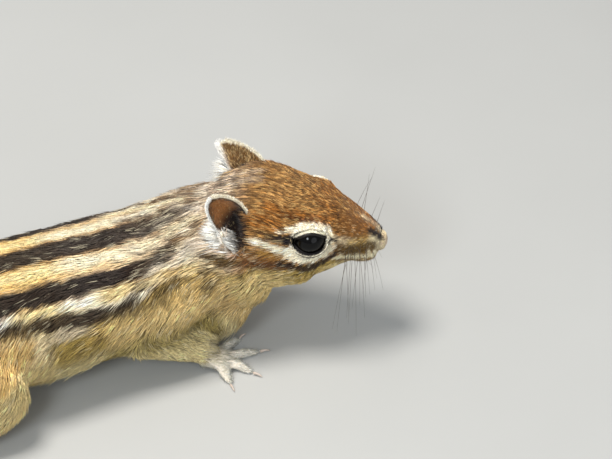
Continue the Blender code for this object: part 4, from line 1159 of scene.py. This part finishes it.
def addTufts(name, roots, bend, tip, normals, width, colours, places, material, slotName):
    # colours holds the tone at the root, the bend and the tip
    count = len(roots)
    turn = np.radians((90, 210, 330))
    straight = bend is None
    middle = tip if straight else bend
    first = unit(middle - roots)
    across = unit(np.cross(first, normals))
    over = np.cross(first, across)
    rings = []
    stages = [(roots, 1.0)] if straight else [(roots, 0.8), (bend, 1.0)]
    for place, size in stages:
        for angle in turn:
            rings.append(place + (across * math.cos(angle) + over * math.sin(angle)) * (width * size * 0.5)[:, None])
    rings.append(tip)
    rows = len(rings)
    points = np.stack(rings, 1).reshape(-1, 3)
    if straight:
        faces = [(2, 1, 0), (0, 1, 3), (1, 2, 3), (2, 0, 3)]
        levels = [0, 0, 0, 2]
    else:
        faces = [(2, 1, 0)]
        for j in range(3):
            k = (j + 1) % 3
            faces += [(j, k, 3 + k), (j, 3 + k, 3 + j), (3 + j, 3 + k, 6)]
        levels = [0, 0, 0, 1, 1, 1, 2]
    faces = (np.arange(count)[:, None, None] * rows + np.array(faces)[None]).reshape(-1, 3)
    made = newMesh(name, points, faces)
    setColours(made.data, np.stack([colours[level] for level in levels], 1).reshape(-1, 3))
    patch = tuftSettings["patch"]
    sideways = [(-0.5, 0.15), (0.0, 0.0), (0.5, 0.15)]
    spread3 = {0: sideways, 1: [(-0.5, 0.6), (0.0, 0.45), (0.5, 0.6)]}
    offsets = spread3[0] + ([] if straight else spread3[1]) + [(0.0, 1.0)]
    maps = (places[:, None, :] + np.array(offsets)[None] * patch).reshape(-1, 2)
    layer = made.data.uv_layers.new(name="OFBake")
    layer.data.foreach_set("uv", maps[faces.ravel()].astype(np.float32).ravel())
    finishPiece(made, material, slotName)
    return made


def toneOf(colour, dice, leaders, pale=0.08, dark=0.08, wild=0.2, lightTone=None):
    # three tones of each tuft, from root to tip; most tufts share them with the lock that they belong to
    count = len(colour)
    lead = np.where(dice.random(count) < tuftSettings["ownTone"], np.arange(count), leaders)
    shade = 0.8 * dice.normal(0, wild, count)[lead] + 0.5 * dice.normal(0, wild, count)
    base = colour * np.exp(shade)[:, None]
    pick, amount = dice.random(count)[lead], dice.uniform(0.6, 1.0, count)[:, None]
    light, deep = (pick < pale)[:, None], (pick > 1 - dark)[:, None]
    lightTone = furColours["cream"] if lightTone is None else lightTone
    bend = base + (lightTone - base) * 0.4 * amount * light
    bend = bend + (furColours["bark"] - bend) * 0.6 * amount * deep
    tip = base * 1.15 + (lightTone - base) * 0.65 * amount * light
    tip = tip + (furColours["bark"] * 0.8 - tip) * 0.9 * amount * deep
    # the root tone is the base darkened, dark tufts most: painted shade deep in the coat, at the foot of the hair
    return base * (0.42 + 0.3 * ramp(base.mean(1), 0.3, 0.7))[:, None], bend, tip


furMade = {slot: furMaterial(slot, fleck, dark) for slot, fleck, dark in
           (("bodyFur", 0.5, 0.35), ("faceFur", 0.3, 0.3), ("footFur", 0.3, 0.3), ("tailFur", 0.6, 0.35), ("earFur", 0.3, 0.3))}

skinTriangles = trianglesOf(skin.data)
corners, cornerShares = scatter(field.points, skinTriangles, field.values[:, 2], np.random.default_rng(7))
roots = atRoots(field.points, corners, cornerShares)
rootNormals = unit(atRoots(field.normals, corners, cornerShares))
rootWay = layOn(atRoots(field.lie, corners, cornerShares), rootNormals)
rootValues = atRoots(field.values, corners, cornerShares)
rootParts = atRoots(field.shares, corners, cornerShares)
rootRegion = regionOf[corners[:, 0]]
print("roots spread:", len(roots))


def clearOfFace():
    # no hair in the eyes, on the nose or under the ears; shorter hair close to the eyes and the nose
    keep = np.ones(len(roots), bool)
    length = rootValues[:, 1].copy()
    way = rootWay.copy()
    for side in sides:
        middle, look, ahead, over = eyeFrame(side)
        gap = roots - middle
        far = np.linalg.norm(gap, axis=1)
        keep &= far > headSettings["eyeRadius"] + 0.3
        flat = gap - look * (gap @ look)[:, None]
        near = (1 - ramp(far, 4.6, 7.2))
        length *= 1 - 0.55 * (1 - ramp(far, 4.4, 6.5))
        outward = unit(flat)
        inward = np.minimum((way * outward).sum(1), 0)
        way = unit(way + (near * (0.35 - inward))[:, None] * outward)
    head = toHead(roots)
    gap = (head - np.array(noseSettings["middle"])) / noseSettings["radii"]
    far = np.linalg.norm(gap, axis=1)
    keep &= (far > 1.02) & (inEars(roots) < 0.5)
    length *= 0.7 + 0.3 * ramp(far, 1.0, 2.4)
    return keep, length, layOn(way, rootNormals)


def growCoat():
    dice = np.random.default_rng(11)
    keep, length, way = clearOfFace()
    fluff = behindEars(roots)
    length = length * dice.uniform(0.75, 1.2, len(roots)) * (1 + 0.9 * fluff)
    way = turned(way, rootNormals, tuftSettings["wander"] * drift(roots, 7.0, 61) + 0.6 * tuftSettings["wander"]
                 * drift(roots, 3.0, 62) + dice.normal(0, tuftSettings["jitter"], len(roots)))
    lift = rootValues[:, 4] + dice.normal(0, 5, len(roots)) + 16 * fluff
    tipLift = rootValues[:, 5] + dice.normal(0, 5, len(roots)) + 14 * fluff
    start = roots - rootNormals * tuftSettings["sink"]
    bend, tip, leaders = tuftLines(start, rootNormals, way, length, lift, tipLift, dice, 0.42 - 0.14 * ramp(-rootParts[:, 0], -0.8, -0.2))
    tip[:, 2] = np.maximum(tip[:, 2], 0.15)
    bend[:, 2] = np.maximum(bend[:, 2], 0.15)
    seen = start + way * (length * 0.5)[:, None]
    colour = coatColour(seen, rootNormals, rootParts)
    tail = rootParts[:, list(field.parts).index("tail")] > 0.5
    # ticked crown, cleaner stripes
    head = ramp(rootParts[:, 0], 0.3, 0.8) * ramp(toHead(seen)[:, 2], -2, 3)
    clean = ramp(colour.mean(1), 0.35, 0.65)
    deep = 1 - ramp(colour.mean(1), 0.04, 0.12)
    fluff = behindEars(roots)
    nape = np.clip(rootParts[:, 1] + 0.6 * ramp(roots[:, 0], -10, 4), 0, 1) * ramp(roots[:, 2], 24, 29) * (1 - head)
    pale = (0.1 + 0.08 * head + 0.14 * nape) * (1 - 0.45 * deep)
    dark = (0.16 + 0.36 * head + 0.26 * nape) * (1 - clean) * (1 - 0.9 * fluff)
    lightTone = mixed(furColours["cream"] + 0 * colour, furColours["ochre"], 0.9 * head * (1 - nape))
    root, middle, end = toneOf(colour, dice, leaders, pale, dark, 0.2 + 0.13 * head, lightTone)
    if tail.any():
        # banded hair: ochre, then black, with white, ochre or black tips, and most white at the sides
        fade = np.exp(dice.normal(0, 0.15, len(roots)))[leaders][tail][:, None]
        kind = np.where(dice.random(len(roots)) < 0.35, dice.random(len(roots)), dice.random(len(roots))[leaders])[tail]
        upright = np.abs(rootNormals[tail][:, 2])
        root[tail] = furColours["ochre"] * fade * 0.7
        middle[tail] = mixed(furColours["ochre"] * fade, furColours["soot"], dice.uniform(0.35, 1.0, tail.sum()))
        tips = mixed(furColours["white"] * fade, furColours["ochre"], 0.4 * dice.random(tail.sum()))
        tips = mixed(tips, furColours["bark"] * 1.4, 1.0 * (kind < 0.1 + 0.2 * upright))
        tips = mixed(tips, furColours["ochre"] * fade, 0.9 * (kind > 0.92 - 0.22 * upright))
        nearRump = ramp(roots[tail][:, 0], -102, -88)
        end[tail] = mixed(tips, furColours["ochre"] * fade, nearRump)
    width = rootValues[:, 3] * dice.uniform(0.75, 1.3, len(roots))
    names = np.array(regions)[rootRegion]
    left = roots[:, 1] > 0
    headX = toHead(roots)[:, 0]
    leftOfHead = toHead(roots)[:, 1] > 0
    x = roots[:, 0]
    isHead = names == "head"
    spine, tailWay = np.array(spineLine, float), smoothLine(tailLine)
    pieces = []
    for side, here, headHere in (("Left", left, leftOfHead), ("Right", ~left, ~leftOfHead)):
        low = side.lower()
        fore, hind = limbLine(foreLine, low, "fore"), limbLine(hindLine, low, "hind")
        pieces += [
            ("coatMuzzle" + side, isHead & headHere & (headX > 6), spine, "faceFur", "coat", True),
            ("coatFace" + side, isHead & headHere & (headX <= 6) & (headX > -5), spine, "faceFur", "coat", False),
            ("coatCrown" + side, isHead & headHere & (headX <= -5), spine, "faceFur", "coat", False),
            ("coatNeck" + side, (names == "neck") & here, spine, "bodyFur", "coat", False),
            ("coatShoulder" + side, (names == "torso") & here & (x > -22), spine, "bodyFur", "coat", False),
            ("coatBack" + side, (names == "torso") & here & (x <= -22) & (x > -54), spine, "bodyFur", "coat", False),
            ("coatRump" + side, (names == "torso") & here & (x <= -54), spine, "bodyFur", "coat", False),
            ("coatArm" + side, np.isin(names, ("upper_arm_" + low, "forearm_" + low)), fore, "bodyFur", "coat", False),
            ("coatThigh" + side, np.isin(names, ("thigh_" + low, "shank_" + low)), hind, "bodyFur", "coat", False),
            ("coatForefoot" + side, names == "forefoot_" + low, fore, "footFur", "foot_coat", True),
            ("coatHindfoot" + side, names == "hindfoot_" + low, hind, "footFur", "foot_coat", True),
        ]
    isTail = names == "tail"
    pieces += [("coatTailBase", isTail & (x > -118), tailWay, "tailFur", "tail_coat", False),
               ("coatTailMiddle", isTail & (x <= -118) & (x > -145), tailWay, "tailFur", "tail_coat", False),
               ("coatTailEnd", isTail & (x <= -145), tailWay, "tailFur", "tail_coat", False)]
    total = 0
    for name, chosen, line, fur, slotName, straight in pieces:
        chosen = chosen & keep
        places = unwrap(roots[chosen], line)
        made = addTufts(name, start[chosen], None if straight else bend[chosen], tip[chosen], rootNormals[chosen], width[chosen],
                        (root[chosen], middle[chosen], end[chosen]), places, furMade[fur], slotName)
        total += len(made.data.polygons)
        print(name, int(chosen.sum()), "tufts,", len(made.data.polygons), "triangles")
    return total


coatTriangles = growCoat()
print("coat grown:", coatTriangles, "triangles")

earFurSettings = {"density": 26.0, "length": 0.9, "width": 0.1, "lift": 20.0, "tipLift": 6.0}


def growEarFur(side):
    dice = np.random.default_rng(13 if side == "left" else 14)
    mesh = ears[side].data
    points, normals = pointsOf(mesh), normalsOf(mesh)
    density = np.full(len(points), earFurSettings["density"])
    at, shares = scatter(points, trianglesOf(mesh), density, dice)
    spots, out = atRoots(points, at, shares), unit(atRoots(normals, at, shares))
    across, share, local = earShares(spots, side)
    _, axes, height = earFrame(side)
    edge = np.minimum((1 - np.abs(across)) * earHalf(share, side), (1 - share) * height * 0.8)
    rim = (1 - ramp(edge, 0.2, 0.8)) * ramp(share, 0.1, 0.35)
    way = axes[2] + axes[1] * np.clip(across, -1, 1)[:, None] * 0.8
    way = layOn(way, out)
    way = turned(way, out, dice.normal(0, 14, len(spots)))
    outside = 1 - ramp(out @ axes[0], -0.05, 0.25)
    length = earFurSettings["length"] * (0.85 + 0.15 * rim + 0.7 * outside * (1 - rim)) * dice.uniform(0.7, 1.2, len(spots))
    lift = earFurSettings["lift"] + 12 * rim + dice.normal(0, 5, len(spots))
    tipLift = earFurSettings["tipLift"] + 8 * rim + dice.normal(0, 5, len(spots))
    bend, tip, leaders = tuftLines(spots - out * 0.06, out, way, length, lift, tipLift, dice, 0.15)
    colour = earColour(spots + way * (length * 0.4)[:, None], out, side)
    plain = ramp(colour.mean(1), 0.4, 0.6)
    tones = toneOf(colour, dice, leaders, 0.1 + 0.2 * outside, (0.06 + 0.45 * outside) * (1 - plain), 0.2,
                   mixed(furColours["ochreCream"] + 0 * colour, furColours["white"], plain))
    width = earFurSettings["width"] * (1 + 0.35 * outside) * dice.uniform(0.8, 1.25, len(spots))
    start, _, _ = earFrame(side)
    line = np.array((start, start + axes[2] * height))
    addTufts("earFur" + side.title(), spots - out * 0.06, None, tip, out, width, tones, unwrap(spots, line), furMade["earFur"], "ear")
    print("earFur" + side.title(), len(spots), "tufts")


earLockSettings = {"count": 420, "length": 3.6, "width": 0.17}


def growEarLocks(side):
    # soft pale hair from the ear's lower back edge, over the foot of its opening
    dice = np.random.default_rng(23 if side == "left" else 24)
    start, axes, height = earFrame(side)
    count = earLockSettings["count"]
    share, across = 0.42 * dice.random(count) ** 0.8, dice.uniform(-1.05, -0.55, count)
    deep = earSettings["depth"] * np.sin(math.pi * np.minimum(0.18 + 0.72 * share, 1))
    local = np.column_stack((-deep * (1 - np.abs(across) ** 2.2) + 0.1, earSettings["bow"][side] * np.sin(math.pi * share)
                             + across * earHalf(share, side), share * height))
    spots = start + local @ axes
    out = unit(axes[0] + 0.25 * dice.normal(size=(count, 3)))
    way = -0.75 * axes[2] + axes[1] * dice.uniform(0.35, 0.9, count)[:, None]
    way = layOn(way, out)
    length = earLockSettings["length"] * dice.uniform(0.6, 1.15, count)
    bend, tip, leaders = tuftLines(spots, out, way, length, np.full(count, 32.0), dice.normal(-4, 7, count), dice)
    colour = mixed(furColours["white"] * 0.9 + 0 * spots, furColours["grey"] * 0.6, dice.random(count))
    tones = toneOf(colour, dice, leaders, 0.1, 0.1, 0.2)
    width = earLockSettings["width"] * dice.uniform(0.8, 1.2, count)
    addTufts("earLocks" + side.title(), spots, bend, tip, out, width, tones,
             unwrap(spots, np.array((start, start + axes[2] * height))), furMade["earFur"], "ear")


ruffSettings = {"count": 850, "length": 7.0, "width": 0.18}


def growRuff(side):
    # long pale hair that stands back from the foot of each ear
    dice = np.random.default_rng(33 if side == "left" else 34)
    turn = 1 if side == "left" else -1
    start, axes, height = earFrame(side)
    count = ruffSettings["count"]
    share = dice.uniform(-0.12, 0.5, count)
    across = dice.uniform(-1.1, -0.5, count) + 0.5 * ramp(-share, -0.1, 0.1)
    local = np.column_stack((-earSettings["depth"] * (1 - np.abs(np.clip(across, -1, 1)) ** 2.2) - 0.5,
                             earSettings["bow"][side] * np.sin(math.pi * np.clip(share, 0, 1)) + across * earHalf(share, side),
                             share * height))
    spots = start + local @ axes
    out = unit(headAxes[1] * turn + upWay * 0.5 + 0.3 * dice.normal(size=(count, 3)))
    way = layOn(-headAxes[0] + upWay * (0.7 * (share - 0.25))[:, None] + 0.15 * dice.normal(size=(count, 3)), out)
    length = ruffSettings["length"] * dice.uniform(0.55, 1.15, count) * (1 - 0.45 * ramp(share, 0.15, 0.5))
    bend, tip, leaders = tuftLines(spots, out, way, length, dice.normal(14, 8, count), dice.normal(-6, 8, count), dice)
    colour = mixed(furColours["white"] + 0 * spots, furColours["grey"], 0.4 * dice.random(count))
    tones = toneOf(colour, dice, leaders, 0.1, 0.04, 0.1)
    width = ruffSettings["width"] * dice.uniform(0.8, 1.2, count)
    addTufts("earRuff" + side.title(), spots, bend, tip, out, width, tones,
             unwrap(spots, np.array((start, start + axes[2] * height))), furMade["earFur"], "ear")


for side in sides:
    growEarFur(side)
    growEarLocks(side)
    growRuff(side)
print("ear fur grown")


def growNoseFur():
    # the muzzle's short fur runs on over the edge of the nose pad
    dice = np.random.default_rng(29)
    count = 2600
    ball = unit(dice.normal(size=(count, 3)))
    pad = np.hypot(ball[:, 1], (ball[:, 2] + 0.1) * 1.15)  # the bare pad is the middle of the tip
    ball = ball[(ball[:, 0] > -0.3) & ((ball[:, 0] < 0.4) | (pad > 0.55))]
    spots = fromHead(np.array(noseSettings["middle"]) + ball * noseSettings["radii"])
    out = unit(ball / noseSettings["radii"] @ headAxes)
    way = layOn(-headAxes[0] + 0 * spots, out)
    length = 0.8 * dice.uniform(0.7, 1.2, len(spots))
    bend, tip, leaders = tuftLines(spots, out, way, length, dice.normal(12, 4, len(spots)), dice.normal(4, 4, len(spots)), dice)
    nostril = (1 - ramp(np.abs(np.abs(ball[:, 1]) - 0.62), 0.1, 0.4)) * ramp(ball[:, 2], 0.35, 0.7)
    colour = mixed(mixed(furColours["cream"], furColours["fawn"], 0.3) + 0 * spots, furColours["bark"], 0.9 * nostril)
    tones = toneOf(colour, dice, leaders, 0.1, 0.05, 0.12)
    addTufts("noseFur", spots - out * 0.05, None, tip, out, np.full(len(spots), 0.13), tones,
             unwrap(spots, np.array(spineLine, float)), furMade["faceFur"], "coat")


growNoseFur()


def growLidFur(side):
    # short pale hair covers the ball above the upper lid
    dice = np.random.default_rng(37 if side == "left" else 38)
    middle, look, ahead, over = eyeFrame(side)
    long, tall = eyeSettings["opening"]
    forward, down = eyeSettings["shift"]
    along = dice.uniform(-4.2, 4.4, 2400)
    arch = np.clip(1 - ((along - forward) / (long + 0.4)) ** 2, 0, 1)
    edge = down + tall * np.sqrt(arch) * (0.7 + 0.3 * arch) + 0.25
    high = edge + dice.uniform(0, 2.6, 2400)
    reach = np.hypot(along, high)
    kept = (reach < headSettings["eyeRadius"] + 0.35) & (high > 0.2)
    along, high, reach = along[kept], high[kept], reach[kept]
    deep = np.sqrt(np.clip((headSettings["eyeRadius"] + 0.3) ** 2 - reach ** 2, 0.02, None))
    flat = ahead * along[:, None] + over * high[:, None]
    out = unit(flat + look * deep[:, None])
    spots = middle + out * (headSettings["eyeRadius"] + 0.22)
    way = layOn(over * 0.8 - ahead + 0 * spots, out)
    rim = ramp(reach, 3.0, 4.1)
    length = (1.0 + 0.7 * rim) * dice.uniform(0.7, 1.2, len(spots))
    bend, tip, leaders = tuftLines(spots, out, way, length, 12 * rim + dice.normal(10, 3, len(spots)), dice.normal(4, 3, len(spots)), dice)
    tones = toneOf(furColours["milk"] + 0 * spots, dice, leaders, 0.1, 0.0, 0.08)
    # the root tone is the middle tone darkened slightly: painted shade at the foot of the hair
    addTufts("lidFur" + side.title(), spots - out * 0.05, None, tip, out, np.full(len(spots), 0.16),
             (tones[1] * 0.85, tones[1], tones[2]), unwrap(spots, np.array(spineLine, float)), furMade["faceFur"], "coat")


for side in sides:
    growLidFur(side)
print("nose and lid fur grown")

# Claws

def clawMaterial():
    made, wire, feed = startMaterial("clawHorn", Specular_IOR_Level=0.5)
    grain = wire.noise(0.6, 3.0)
    feed("Base Color", wire.colours(grain, (0.66, 0.56, 0.48, 1), (0.46, 0.36, 0.29, 1)))
    feed("Roughness", grain * 0.2 + 0.3)
    return made


horn = clawMaterial()
for foot, count in (("fore", 4), ("hind", 5)):
    for side in sides:
        nodes = [f"claw_{foot}_{side}_{number}" for number in range(1, count + 1)]
        copies = [weldedCopy(node, 0) for node in nodes]
        bpy.ops.object.select_all(action="DESELECT")
        for copy in copies:
            copy.select_set(True)
        bpy.context.view_layer.objects.active = copies[0]
        bpy.ops.object.join()
        claws = copies[0]
        claws.name = claws.data.name = "claws" + foot.title() + side.title()
        settle(claws, "SUBSURF", levels=1, render_levels=1)
        pickOnly(claws)
        bpy.ops.object.shade_smooth()
        finishPiece(claws, horn, "claw", *nodes)
print("claws made")

# Whiskers

whiskerSettings = {"rows": 4, "inRow": 5, "front": 13.6, "step": 1.35, "top": -3.6, "drop": 1.05, "root": 0.062, "tip": 0.016,
                   "longest": 21.0, "shortest": 9.0}


def whiskerMaterial():
    made, wire, feed = startMaterial("whiskerHair", Specular_IOR_Level=0.4)
    shade = wire.noise(4.0, 2.0)
    feed("Base Color", wire.colours(shade, (0.03, 0.022, 0.016, 1), (0.10, 0.075, 0.05, 1)))
    feed("Roughness", shade * 0.2 + 0.3)
    return made


def addWhiskers():
    dice = np.random.default_rng(17)
    surface = BVHTree.FromPolygons([tuple(p) for p in field.points], [tuple(t) for t in skinTriangles])
    points, faces, first = [], [], 0
    for turn in (1, -1):
        for row in range(whiskerSettings["rows"]):
            for place in range(whiskerSettings["inRow"]):
                x = whiskerSettings["front"] - whiskerSettings["step"] * (place + 0.4 * (row % 2)) + dice.normal(0, 0.15)
                z = whiskerSettings["top"] - whiskerSettings["drop"] * row + 0.1 * place + dice.normal(0, 0.1)
                hit = surface.ray_cast(Vector(fromHead((x, 20 * turn, z))), Vector(np.array((0, -turn, 0)) @ headAxes))[0]
                if hit is None:
                    continue
                share = place / (whiskerSettings["inRow"] - 1)
                length = whiskerSettings["shortest"] + (whiskerSettings["longest"] - whiskerSettings["shortest"]) * share
                length *= dice.uniform(0.8, 1.15) * (1 - 0.12 * row)
                way = unit(np.array((0.22 - 0.24 * share + dice.normal(0, 0.08), turn * 0.7, (0.3 if row == 0 else 0.1 - 0.22 * row) + dice.normal(0, 0.1))))
                droop = np.array((-0.02, 0, (-0.1 if row == 0 else -0.5) + dice.normal(0, 0.06)))
                t = np.linspace(0, 1, 11)[:, None]
                line = way * t * length + droop * t ** 2 * length
                line = np.array(hit) + line @ headAxes - way @ headAxes * 0.3
                radii = whiskerSettings["root"] + (whiskerSettings["tip"] - whiskerSettings["root"]) * t[:, 0] ** 0.8
                made, quads = rod(line, radii, 6)
                points.append(made)
                faces += [tuple(np.array(q) + first) for q in quads]
                first += len(made)
    whiskers = newMesh("whiskers", np.vstack(points), faces)
    finishPiece(whiskers, whiskerMaterial(), "coat")


addWhiskers()
print("whiskers made")
